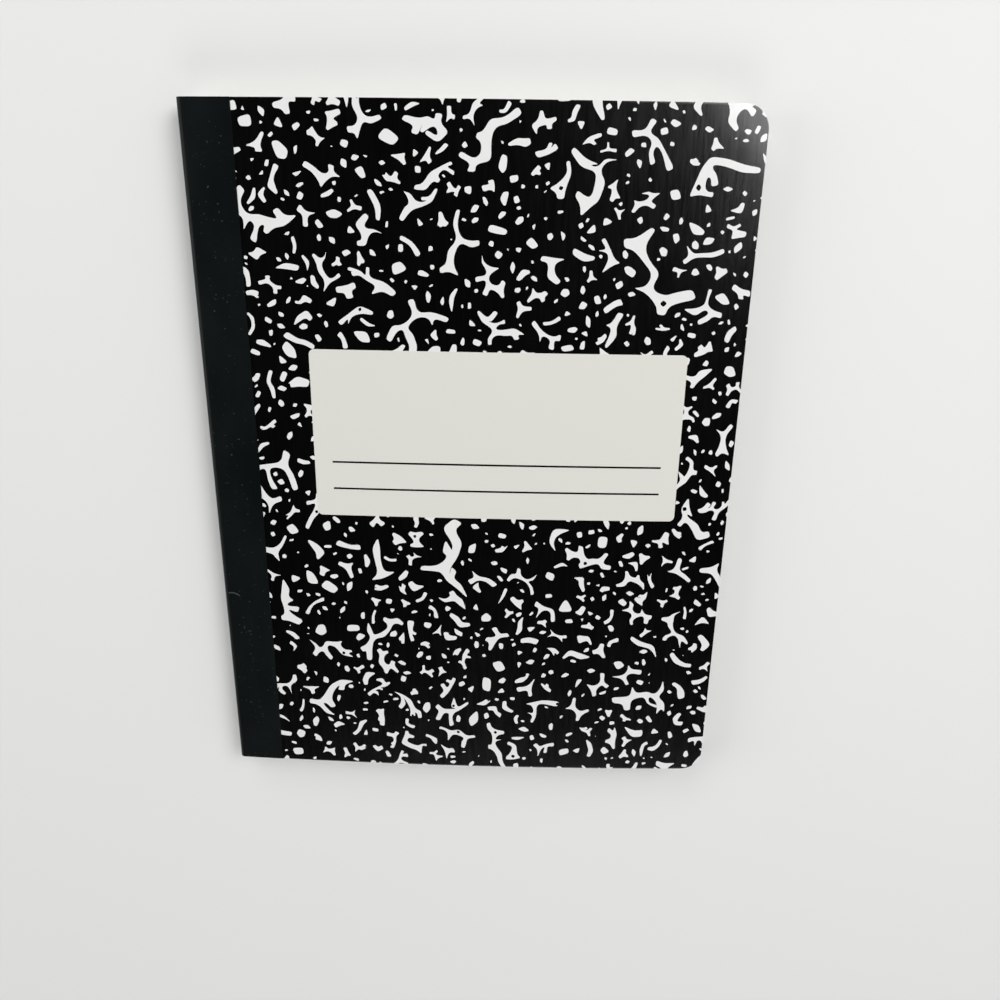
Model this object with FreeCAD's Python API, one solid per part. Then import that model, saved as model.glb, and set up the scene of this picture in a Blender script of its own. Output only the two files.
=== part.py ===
import FreeCAD, Part
import math
import os
import random
from statistics import NormalDist

# Composition notebook, shut and lying on its back cover. All sizes are in millimetres.
# The spine is at -X, the fore-edge at +X, the head at +Y, and the front cover faces +Z.
# The origin is the middle of the footprint, at the level that the notebook rests on.

# Covers: two printed boards, each with the endpaper that lines it
cover_width = 190.5
cover_height = 247.65
corner_radius = 8.0
board_thickness = 0.7
endpaper_thickness = 0.12
board_gap = 0.2
crown_rise = 2.4

# Pages: folded sheets nested in each other, trimmed with the covers
leaf_count = 100
leaf_thickness = 0.09
page_inset = 0.2
cover_play = 0.3

# Binding tape, which wraps the spine and laps over both covers
tape_thickness = 0.15
tape_width = 18.1
shoulder_radius = 2.2
shoulder_gap = 0.12
hinge_offset = 0.05
hinge_slit = 0.2

# Thread sewn through the fold of the sheets, under the tape
thread_thickness = 0.5
thread_clearance = 0.05
stitch_length = 8.0
stitch_margin = 9.0
fold_depth = 4.5

# White name label printed on the front cover, with two lines to write on. Print is built as
# a raised film, thick enough to stand clear of the curved board under it.
label_width = 132.0
label_height = 60.8
label_radius = 2.0
label_left = 38.9
label_bottom = 107.7
rule_length = 119.1
rule_width = 0.65
rule_left = 6.5
rule_heights = (10.4, 20.4)
print_thickness = 0.12
rule_thickness = 0.1

# Marbled print: white flecks on black, from one pattern that repeats over the cover stock.
# There is one fleck for each square of the pitch. A fleck's size is its area's square root,
# and the spread is that of the sizes' logarithms. Only the largest share of them is built.
repeat_width = 192.0
repeat_height = 252.0
fleck_pitch = 6.3
fleck_size_median = 1.89
fleck_size_limit = 12.0
fleck_size_spread = 0.64
fleck_spacing = 0.7
smallest_trimmed_size = 1.7
large_fleck_share = 0.086
fork_ranks = (1.0, 0.085, 0.045, 0.02, 0.008, 0.003)
pattern_seed = 29

# Levels above the table, and the depths of the front layers under the tape's outer face
block_thickness = leaf_count * leaf_thickness
board_depth = tape_thickness
endpaper_depth = board_depth + board_thickness
lining_depth = endpaper_depth + endpaper_thickness
block_depth = lining_depth + cover_play
total_thickness = lining_depth + block_thickness + block_depth

# Plan positions
spine_x = -cover_width / 2
fore_edge_x = cover_width / 2
tail_y = -cover_height / 2
head_y = cover_height / 2
ridge_x = spine_x + shoulder_radius
board_x = ridge_x + board_gap
tape_edge_x = spine_x + tape_width

# The front's layers are arcs about one line that runs along Y, far under the notebook
crown_radius = cover_width ** 2 / (8 * crown_rise) + crown_rise / 2
crown_axis_z = total_thickness + crown_rise - crown_radius

# The tape's rounded shoulders: the front one is tangent to the crown's arc
front_shoulder_z = crown_axis_z + math.sqrt((crown_radius - shoulder_radius) ** 2 - ridge_x ** 2)
back_shoulder_z = shoulder_radius
tangent_angle = math.degrees(math.atan2(front_shoulder_z - crown_axis_z, ridge_x))
FRONT_HINGE_ANGLE = 135.0
BACK_HINGE_ANGLE = 225.0
slit_angle = math.degrees(hinge_slit / 2 / shoulder_radius)


def vector(x, y, z):
    return FreeCAD.Vector(x, y, z)


def section_point(x, z):
    """Point of a section, which lies in the plane of the tail edge."""
    return vector(x, tail_y, z)


def shoulder_point(centre_z, radius, angle):
    """Point on a circle about a shoulder's centre, with the angle from +X towards +Z."""
    turn = math.radians(angle)
    return section_point(ridge_x + radius * math.cos(turn), centre_z + radius * math.sin(turn))


def shoulder_arc(centre_z, radius, start, end):
    """Arc about a shoulder's centre."""
    points = [shoulder_point(centre_z, radius, angle) for angle in (start, (start + end) / 2, end)]
    return Part.Arc(*points).toShape()


def crown_point(x, depth):
    """Point of the front at a depth under the tape's outer face."""
    return section_point(x, crown_axis_z + math.sqrt((crown_radius - depth) ** 2 - x ** 2))


def crown_arc(depth, start, end):
    """Arc of the front's crown at one depth."""
    points = [crown_point(x, depth) for x in (start, (start + end) / 2, end)]
    return Part.Arc(*points).toShape()


def run(start, end):
    """Straight edge between two points."""
    return Part.LineSegment(start, end).toShape()


def sweep_section(edges):
    """Solid of a closed section carried from the tail to the head."""
    face = Part.Face(Part.Wire(Part.__sortEdges__(edges)))
    return face.extrude(vector(0, cover_height, 0))


def crown_layer(outer_depth, inner_depth, start, end):
    """Curved layer of the front between two depths and two places across."""
    return sweep_section([
        crown_arc(outer_depth, start, end),
        run(crown_point(end, outer_depth), crown_point(end, inner_depth)),
        crown_arc(inner_depth, start, end),
        run(crown_point(start, inner_depth), crown_point(start, outer_depth)),
    ])


def rounded_plan(left, right, low, high, left_radius, right_radius):
    """Face on z = 0 of a rectangle whose corners are rounded at its left and right ends."""
    edges = []
    corners = (
        (left, low, 1, 1, left_radius),
        (right, low, -1, 1, right_radius),
        (right, high, -1, -1, right_radius),
        (left, high, 1, -1, left_radius),
    )
    ends = []
    for x, y, along_x, along_y, radius in corners:
        beside = vector(x + along_x * radius, y, 0)
        above = vector(x, y + along_y * radius, 0)
        pair = (above, beside) if along_x == along_y else (beside, above)
        ends.append(pair)
        if radius > 0:
            inward = radius * (1 - math.sqrt(0.5))
            middle = vector(x + along_x * inward, y + along_y * inward, 0)
            edges.append(Part.Arc(pair[0], middle, pair[1]).toShape())
    for index in range(4):
        edges.append(run(ends[index][1], ends[(index + 1) % 4][0]))
    return Part.Face(Part.Wire(Part.__sortEdges__(edges)))


def cover_plan(start, inset):
    """Outline of what is trimmed with the covers: square at the spine, round at the fore-edge."""
    return rounded_plan(
        start,
        fore_edge_x - inset,
        tail_y + inset,
        head_y - inset,
        0,
        corner_radius - inset,
    )


def slab(plan, low, high):
    """Flat plate of a plan between two levels."""
    plate = plan.extrude(vector(0, 0, high - low))
    plate.translate(vector(0, 0, low))
    return plate


def column(plan):
    """A plan carried through the whole height of the notebook, to trim with."""
    return slab(plan, -1, total_thickness + crown_rise + 1)


def stitch_plan(half_width):
    """Plan of the thread: runs along the spine and along the inner fold by turns."""
    outer_x = spine_x + tape_thickness + thread_thickness / 2
    inner_x = spine_x + tape_thickness + fold_depth
    stitch_count = int((cover_height - 2 * stitch_margin) / stitch_length)
    start_y = -stitch_count * stitch_length / 2
    route = []
    for index in range(stitch_count + 1):
        y = start_y + index * stitch_length
        pair = (inner_x, outer_x) if index % 2 == 0 else (outer_x, inner_x)
        route.append((pair[0], y))
        route.append((pair[1], y))
    steps = []
    for (x0, y0), (x1, y1) in zip(route, route[1:]):
        length = math.hypot(x1 - x0, y1 - y0)
        steps.append(((x1 - x0) / length, (y1 - y0) / length))
    left = []
    right = []
    for index, (x, y) in enumerate(route):
        before = steps[max(index - 1, 0)]
        after = steps[min(index, len(steps) - 1)]
        side_x, side_y = -before[1], before[0]
        if before != after:
            side_x -= after[1]
            side_y += after[0]
        cap_x = half_width * ((index == len(route) - 1) * after[0] - (index == 0) * before[0])
        cap_y = half_width * ((index == len(route) - 1) * after[1] - (index == 0) * before[1])
        left.append(vector(x + half_width * side_x + cap_x, y + half_width * side_y + cap_y, 0))
        right.append(vector(x - half_width * side_x + cap_x, y - half_width * side_y + cap_y, 0))
    ring = left + right[::-1]
    return Part.Face(Part.makePolygon(ring + ring[:1]))


def make_thread(growth):
    """The sewing thread, or the channel that it fills where growth is its clearance."""
    half = thread_thickness / 2 + growth
    fold_z = lining_depth + block_thickness / 2
    return slab(stitch_plan(half), fold_z - half, fold_z + half)


def make_page_block():
    """Folded sheets as one solid: round swollen fold, flat bottom and crowned top."""
    radius = shoulder_radius - tape_thickness
    front_z = front_shoulder_z - shoulder_gap
    back_z = back_shoulder_z + shoulder_gap
    end_x = fore_edge_x
    low_step = section_point(ridge_x, lining_depth)
    high_step = crown_point(ridge_x, block_depth)
    low_end = section_point(end_x, lining_depth)
    block = sweep_section([
        run(low_step, shoulder_point(back_z, radius, 270)),
        shoulder_arc(back_z, radius, 180, 270),
        run(shoulder_point(back_z, radius, 180), shoulder_point(front_z, radius, 180)),
        shoulder_arc(front_z, radius, 90, 180),
        run(shoulder_point(front_z, radius, 90), high_step),
        crown_arc(block_depth, ridge_x, end_x),
        run(crown_point(end_x, block_depth), low_end),
        run(low_end, low_step),
    ])
    trimmed = block.common(column(cover_plan(spine_x, page_inset)))
    return trimmed.cut(make_thread(thread_clearance))


def make_spine_tape():
    """The tape round the spine, between the lines where the two covers bend."""
    inner = shoulder_radius - tape_thickness
    front = FRONT_HINGE_ANGLE + slit_angle
    back = BACK_HINGE_ANGLE - slit_angle
    return sweep_section([
        shoulder_arc(front_shoulder_z, shoulder_radius, front, 180),
        run(section_point(spine_x, front_shoulder_z), section_point(spine_x, back_shoulder_z)),
        shoulder_arc(back_shoulder_z, shoulder_radius, 180, back),
        run(
            shoulder_point(back_shoulder_z, shoulder_radius, back),
            shoulder_point(back_shoulder_z, inner, back),
        ),
        shoulder_arc(back_shoulder_z, inner, 180, back),
        run(
            shoulder_point(back_shoulder_z, inner, 180),
            shoulder_point(front_shoulder_z, inner, 180),
        ),
        shoulder_arc(front_shoulder_z, inner, front, 180),
        run(
            shoulder_point(front_shoulder_z, inner, front),
            shoulder_point(front_shoulder_z, shoulder_radius, front),
        ),
    ])


def make_front_tape_flap():
    """The tape's lap over the front cover, from its bend line to its edge on the print."""
    inner = shoulder_radius - tape_thickness
    start = FRONT_HINGE_ANGLE - slit_angle
    outer_tangent = shoulder_point(front_shoulder_z, shoulder_radius, tangent_angle)
    inner_tangent = shoulder_point(front_shoulder_z, inner, tangent_angle)
    return sweep_section([
        shoulder_arc(front_shoulder_z, shoulder_radius, start, tangent_angle),
        crown_arc(0, outer_tangent.x, tape_edge_x),
        run(crown_point(tape_edge_x, 0), crown_point(tape_edge_x, tape_thickness)),
        crown_arc(tape_thickness, inner_tangent.x, tape_edge_x),
        shoulder_arc(front_shoulder_z, inner, start, tangent_angle),
        run(
            shoulder_point(front_shoulder_z, inner, start),
            shoulder_point(front_shoulder_z, shoulder_radius, start),
        ),
    ])


def make_back_tape_flap():
    """The tape's lap under the back cover, which the notebook rests on."""
    inner = shoulder_radius - tape_thickness
    start = BACK_HINGE_ANGLE + slit_angle
    return sweep_section([
        shoulder_arc(back_shoulder_z, shoulder_radius, start, 270),
        run(section_point(ridge_x, 0), section_point(tape_edge_x, 0)),
        run(section_point(tape_edge_x, 0), section_point(tape_edge_x, tape_thickness)),
        run(section_point(tape_edge_x, tape_thickness), section_point(ridge_x, tape_thickness)),
        shoulder_arc(back_shoulder_z, inner, start, 270),
        run(
            shoulder_point(back_shoulder_z, inner, start),
            shoulder_point(back_shoulder_z, shoulder_radius, start),
        ),
    ])


def make_front_sheet(outer_depth, inner_depth):
    """A board or lining of the front cover, curved with the crown and trimmed to the outline."""
    layer = crown_layer(outer_depth, inner_depth, board_x, fore_edge_x)
    return layer.common(column(cover_plan(board_x, 0)))


def label_plan():
    """Outline of the printed name label."""
    left = spine_x + label_left
    low = tail_y + label_bottom
    return rounded_plan(
        left,
        left + label_width,
        low,
        low + label_height,
        label_radius,
        label_radius,
    )


def make_label():
    """The white printed field of the label, a film on the curved board."""
    layer = crown_layer(board_depth - print_thickness, board_depth, board_x, fore_edge_x)
    return layer.common(column(label_plan()))


def make_label_rules():
    """The two printed writing lines on the label."""
    surface = board_depth - print_thickness
    left = spine_x + label_left + rule_left
    rules = []
    for height in rule_heights:
        low = tail_y + label_bottom + height - rule_width / 2
        plan = rounded_plan(left, left + rule_length, low, low + rule_width, 0, 0)
        layer = crown_layer(surface - rule_thickness, surface, left, left + rule_length)
        rules.append(layer.common(column(plan)))
    return Part.makeCompound(rules)


def grow_skeleton(draw, joints):
    """Branching line of a fleck: a bent trunk with limbs on the outside of its bends.

    Returns the nodes as (x, y, half width) and the neighbours of each node.
    """
    heading = draw(0, 2 * math.pi)
    side = 1 if draw(0, 1) < 0.5 else -1
    nodes = [(0.0, 0.0, draw(0.05, 0.28))]
    links = [[]]

    def add_node(parent, angle, length, half_width):
        x, y, _ = nodes[parent]
        nodes.append((x + length * math.cos(angle), y + length * math.sin(angle), half_width))
        links.append([parent])
        links[parent].append(len(nodes) - 1)
        return len(nodes) - 1

    trunk = 0
    for index in range(joints):
        trunk = add_node(trunk, heading, draw(0.65, 1.2), draw(0.11, 0.36))
        turn = side * draw(0.35, 1.45)
        if draw(0, 1) < 0.72:
            aim = heading - side * draw(0.75, 1.7)
            limb = add_node(trunk, aim, draw(0.55, 1.0), draw(0.05, 0.28))
            if joints > 2 and draw(0, 1) < 0.4:
                add_node(limb, aim + draw(-1.1, 1.1), draw(0.5, 0.9), draw(0.05, 0.25))
        if draw(0, 1) < 0.3:
            turn *= -0.4
        heading += turn
        side = -side if draw(0, 1) < 0.6 else side
    add_node(trunk, heading, draw(0.6, 1.2), draw(0.05, 0.30))
    return nodes, links


def trace_outline(draw, nodes, links):
    """Closed outline round a skeleton: each tip is blunt or pointed, each fork has a crotch."""
    angles = []
    for index, near in enumerate(links):
        x, y, _ = nodes[index]
        angles.append(sorted((math.atan2(nodes[k][1] - y, nodes[k][0] - x), k) for k in near))
    outline = []
    before, here = links[0][0], 0
    while True:
        x, y, half = nodes[here]
        back = math.atan2(nodes[before][1] - y, nodes[before][0] - x)
        if len(links[here]) == 1:
            ahead = back + math.pi
            if half < 0.12:
                outline.append((x + 0.12 * math.cos(ahead), y + 0.12 * math.sin(ahead)))
            else:
                for turn in (-1, 1):
                    reach = half * draw(-0.25, 0.6)
                    across = ahead + turn * math.pi / 2
                    outline.append((
                        x + reach * math.cos(ahead) + half * math.cos(across),
                        y + reach * math.sin(ahead) + half * math.sin(across),
                    ))
            following = before
        else:
            ordered = angles[here]
            place = [k for _, k in ordered].index(before)
            next_angle, following = ordered[(place + 1) % len(ordered)]
            gap = (next_angle - back) % (2 * math.pi)
            middle = back + gap / 2
            reach = half * min(1 / max(math.sin(gap / 2), 0.1), 1.35)
            outline.append((x + reach * math.cos(middle), y + reach * math.sin(middle)))
        before, here = here, following
        if here == 0 and before == links[0][0]:
            return outline


def shoelace(outline):
    """Signed area of a closed outline."""
    total = 0.0
    for (x0, y0), (x1, y1) in zip(outline, outline[1:] + outline[:1]):
        total += x0 * y1 - x1 * y0
    return total / 2


def crosses(a, b, c, d):
    """Whether the segments ab and cd cross."""
    def turn(p, q, r):
        return (q[0] - p[0]) * (r[1] - p[1]) - (q[1] - p[1]) * (r[0] - p[0])
    return turn(a, b, c) * turn(a, b, d) < 0 and turn(c, d, a) * turn(c, d, b) < 0


def is_simple(outline):
    """Whether an outline runs once round without crossing itself."""
    count = len(outline)
    sides = [(outline[i], outline[(i + 1) % count]) for i in range(count)]
    for i in range(count):
        for j in range(i + 2, count):
            if (i, j) != (0, count - 1) and crosses(*sides[i], *sides[j]):
                return False
    return True


def make_fleck(draw, size, rank):
    """One fleck of a given size about its own middle: its outline and its guard circles.

    The rank, from 0 for the largest fleck, says how many forks its skeleton has.
    """
    joints = sum(rank < limit for limit in fork_ranks)
    joints += draw(0, 1) < 0.45
    while True:
        nodes, links = grow_skeleton(draw, joints)
        outline = trace_outline(draw, nodes, links)
        if is_simple(outline) and shoelace(outline) > 0.4:
            break
    scale = size / math.sqrt(shoelace(outline))
    middle_x = sum(x for x, _ in outline) / len(outline)
    middle_y = sum(y for _, y in outline) / len(outline)
    shape = [((x - middle_x) * scale, (y - middle_y) * scale) for x, y in outline]
    guards = []
    for index, near in enumerate(links):
        x, y, half = nodes[index]
        guards.append(((x - middle_x) * scale, (y - middle_y) * scale, half * scale))
        for other in near:
            if other > index:
                other_x, other_y, other_half = nodes[other]
                for share in (0.25, 0.5, 0.75):
                    guards.append((
                        (x + (other_x - x) * share - middle_x) * scale,
                        (y + (other_y - y) * share - middle_y) * scale,
                        (half + (other_half - half) * share) * scale,
                    ))
    return shape, guards


def wrapped(distance, period):
    """Shortest distance on a pattern that repeats."""
    return distance - period * round(distance / period)


def is_clear(x, y, guards, placed):
    """Whether a fleck at (x, y) keeps the spacing to all that are placed."""
    for guard_x, guard_y, radius in guards:
        for other_x, other_y, other_radius in placed:
            across = wrapped(x + guard_x - other_x, repeat_width)
            along = wrapped(y + guard_y - other_y, repeat_height)
            if math.hypot(across, along) < radius + other_radius + fleck_spacing:
                return False
    return True


def scatter_flecks():
    """The large flecks of one repeat of the pattern, the largest first, as placed outlines."""
    draw = random.Random(pattern_seed).uniform
    count = round(repeat_width * repeat_height / fleck_pitch ** 2)
    bell = NormalDist(math.log(fleck_size_median), fleck_size_spread)
    placed = []
    flecks = []
    for index in range(round(large_fleck_share * count)):
        size = min(math.exp(bell.inv_cdf(1 - (index + 0.5) / count)), fleck_size_limit)
        shape, guards = make_fleck(draw, size, index / count)
        for _ in range(400):
            x = draw(0, repeat_width)
            y = draw(0, repeat_height)
            if is_clear(x, y, guards, placed):
                placed.extend((x + dx, y + dy, radius) for dx, dy, radius in guards)
                flecks.append([(x + dx, y + dy) for dx, dy in shape])
                break
    return flecks


def copies_over(flecks, left, right, low, high):
    """Every copy of the repeating flecks that reaches into a rectangle of the cover."""
    for outline in flecks:
        xs = [x for x, _ in outline]
        ys = [y for _, y in outline]
        columns = range(
            math.floor((left - max(xs)) / repeat_width) + 1,
            math.ceil((right - min(xs)) / repeat_width),
        )
        rows = range(
            math.floor((low - max(ys)) / repeat_height) + 1,
            math.ceil((high - min(ys)) / repeat_height),
        )
        for column_index in columns:
            for row_index in rows:
                shift_x = column_index * repeat_width
                shift_y = row_index * repeat_height
                yield [(x + shift_x, y + shift_y) for x, y in outline]


def is_inside(outline, left, right, low, high, margin):
    """Whether an outline lies inside a rectangle by a margin."""
    return all(
        left + margin < x < right - margin and low + margin < y < high - margin
        for x, y in outline
    )


def is_outside(outline, left, right, low, high):
    """Whether an outline lies wholly beside a rectangle."""
    xs = [x for x, _ in outline]
    ys = [y for _, y in outline]
    return max(xs) < left or min(xs) > right or max(ys) < low or min(ys) > high


def trim_flecks(outlines, has_label):
    """Flat faces of the flecks, cut off at the tape's edge, the cover's edge and the label."""
    field = rounded_plan(tape_edge_x, fore_edge_x, tail_y, head_y, 0, corner_radius)
    label_x = spine_x + label_left
    label_y = tail_y + label_bottom
    if has_label:
        field = field.cut(label_plan())
    faces = []
    for outline in outlines:
        corners = [vector(x, y, 0) for x, y in outline]
        face = Part.Face(Part.makePolygon(corners + corners[:1]))
        inside = is_inside(outline, tape_edge_x, fore_edge_x, tail_y, head_y, corner_radius)
        beside = is_outside(
            outline,
            label_x,
            label_x + label_width,
            label_y,
            label_y + label_height,
        )
        if inside and (beside or not has_label):
            faces.append(face)
        else:
            pieces = face.common(field).Faces
            faces.extend(piece for piece in pieces if piece.Area > smallest_trimmed_size ** 2)
    return faces


def make_front_flecks(flecks):
    """White flecks on the front: flat films, each laid on the curved board at its own middle."""
    outlines = copies_over(flecks, tape_edge_x, fore_edge_x, tail_y, head_y)
    surface_radius = crown_radius - board_depth
    films = []
    for face in trim_flecks(outlines, True):
        middle_x = face.CenterOfMass.x
        film = face.extrude(vector(0, 0, print_thickness))
        film.translate(vector(-middle_x, 0, crown_axis_z + surface_radius))
        turn = math.degrees(math.asin(middle_x / surface_radius))
        film.rotate(vector(0, 0, crown_axis_z), vector(0, 1, 0), turn)
        films.append(film)
    return Part.makeCompound(films)


def make_back_flecks(flecks):
    """White flecks on the back: the same stock, turned half round, with no label."""
    turned = [[(-x, -y) for x, y in outline] for outline in flecks]
    outlines = copies_over(turned, tape_edge_x, fore_edge_x, tail_y, head_y)
    films = []
    for face in trim_flecks(outlines, False):
        film = face.extrude(vector(0, 0, print_thickness))
        film.translate(vector(0, 0, tape_thickness - print_thickness))
        films.append(film)
    return Part.makeCompound(films)


def report_hinge(name, centre_z, angle):
    """Print where a cover's bend line runs, in metres."""
    point = shoulder_point(centre_z, shoulder_radius + hinge_offset, angle)
    print(name, "bends about x", round(point.x / 1000, 6), "z", round(point.z / 1000, 6))


def main():
    flecks = scatter_flecks()
    back_board = slab(cover_plan(board_x, 0), tape_thickness, endpaper_depth)
    back_endpaper = slab(cover_plan(board_x, 0), endpaper_depth, lining_depth)
    pieces = {
        "page_block": make_page_block(),
        "binding_thread": make_thread(0),
        "spine_tape": make_spine_tape(),
        "front_cover": make_front_sheet(board_depth, endpaper_depth),
        "front_endpaper": make_front_sheet(endpaper_depth, lining_depth),
        "front_tape_flap": make_front_tape_flap(),
        "front_flecks": make_front_flecks(flecks),
        "front_label": make_label(),
        "label_rules": make_label_rules(),
        "back_cover": back_board,
        "back_endpaper": back_endpaper,
        "back_tape_flap": make_back_tape_flap(),
        "back_flecks": make_back_flecks(flecks),
    }
    os.makedirs("parts", exist_ok=True)
    for name, shape in pieces.items():
        shape.exportStep("parts/" + name + ".step")
        print(name, len(shape.Solids), "solids", round(shape.Volume, 3), "cubic mm", shape.isValid())
    report_hinge("front cover", front_shoulder_z, FRONT_HINGE_ANGLE)
    report_hinge("back cover", back_shoulder_z, BACK_HINGE_ANGLE)


main()
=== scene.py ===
"""Composition notebook: marbled board covers, tape spine, sewn pages and a bare name label."""
import logging
import math
import random
from dataclasses import dataclass, replace
from enum import Enum
from statistics import NormalDist
from typing import Any, Callable, ClassVar, Iterator, Sequence

import bmesh
import bpy
import numpy as np
from mathutils import Matrix, Vector
from mathutils.geometry import delaunay_2d_cdt


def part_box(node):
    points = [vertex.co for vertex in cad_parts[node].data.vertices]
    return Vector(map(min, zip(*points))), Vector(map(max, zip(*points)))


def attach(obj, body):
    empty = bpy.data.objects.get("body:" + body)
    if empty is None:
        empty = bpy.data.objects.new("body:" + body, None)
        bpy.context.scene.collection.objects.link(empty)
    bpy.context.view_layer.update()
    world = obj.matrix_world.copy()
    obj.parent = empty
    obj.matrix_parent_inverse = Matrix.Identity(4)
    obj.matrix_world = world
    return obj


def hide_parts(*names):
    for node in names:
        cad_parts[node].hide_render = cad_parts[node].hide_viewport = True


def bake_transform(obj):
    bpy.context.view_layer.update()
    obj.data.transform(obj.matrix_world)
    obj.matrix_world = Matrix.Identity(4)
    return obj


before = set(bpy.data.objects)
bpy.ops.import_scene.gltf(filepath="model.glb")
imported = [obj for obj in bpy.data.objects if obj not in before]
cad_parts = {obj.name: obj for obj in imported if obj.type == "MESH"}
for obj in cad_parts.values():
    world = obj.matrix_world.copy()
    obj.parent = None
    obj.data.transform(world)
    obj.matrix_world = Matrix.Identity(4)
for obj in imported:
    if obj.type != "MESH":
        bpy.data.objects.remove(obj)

logging.basicConfig(level=logging.INFO, format="%(message)s")
log = logging.getLogger("notebook")

MM = 0.001   # one millimetre in metres
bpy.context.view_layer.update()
Grid = np.ndarray
Pair = tuple[float, float]
Triple = tuple[float, float, float]
Height = Callable[[Grid, Grid], Grid]
Draw = Callable[[float, float], float]
Outline2D = list[Pair]
Material = bpy.types.Material
Piece = bpy.types.Object


class Face(Enum):
    """Which side of the notebook a cover is on."""

    FRONT = "front"
    BACK = "back"


class Value:
    """A number socket of a material, with arithmetic that adds Math nodes."""

    def __init__(self, tree: "Tree", socket: bpy.types.NodeSocket) -> None:
        """Keep the tree and the socket.

        Args:
            tree: the material's tree, which makes the nodes.
            socket: the output that holds the number.
        """
        self.tree = tree
        self.socket = socket

    def math(self, operation: str, *values: Any) -> "Value":
        """Apply a Math operation to this value and others.

        Args:
            operation: the Math node's operation.
            values: further numbers or values, in the node's order.

        Returns:
            The result as a value.
        """
        return self.tree.math(operation, self, *values)

    def __add__(self, other: Any) -> "Value":
        """Sum."""
        return self.math("ADD", other)

    def __radd__(self, other: Any) -> "Value":
        """Sum with a number on the left."""
        return self.math("ADD", other)

    def __sub__(self, other: Any) -> "Value":
        """Difference."""
        return self.math("SUBTRACT", other)

    def __rsub__(self, other: Any) -> "Value":
        """Difference with a number on the left."""
        return self.tree.math("SUBTRACT", other, self)

    def __mul__(self, other: Any) -> "Value":
        """Product."""
        return self.math("MULTIPLY", other)

    def __rmul__(self, other: Any) -> "Value":
        """Product with a number on the left."""
        return self.math("MULTIPLY", other)

    def __truediv__(self, other: Any) -> "Value":
        """Quotient."""
        return self.math("DIVIDE", other)

    def __pow__(self, other: Any) -> "Value":
        """Power."""
        return self.math("POWER", other)

    def __abs__(self) -> "Value":
        """Size without the sign."""
        return self.math("ABSOLUTE")

    def at_least(self, other: Any) -> "Value":
        """The larger of this and another value."""
        return self.math("MAXIMUM", other)

    def at_most(self, other: Any) -> "Value":
        """The smaller of this and another value."""
        return self.math("MINIMUM", other)

    def ramp(self, start: float, end: float) -> "Value":
        """Smooth step from 0 at start to 1 at end.

        Args:
            start: the value that gives 0.
            end: the value that gives 1, which may be the lower one.

        Returns:
            The eased share.
        """
        settings = {"interpolation_type": "SMOOTHSTEP"}
        sockets = {"Value": self, "From Min": start, "From Max": end}
        return Value(self.tree, self.tree.node("ShaderNodeMapRange", settings, sockets).outputs[0])


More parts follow.
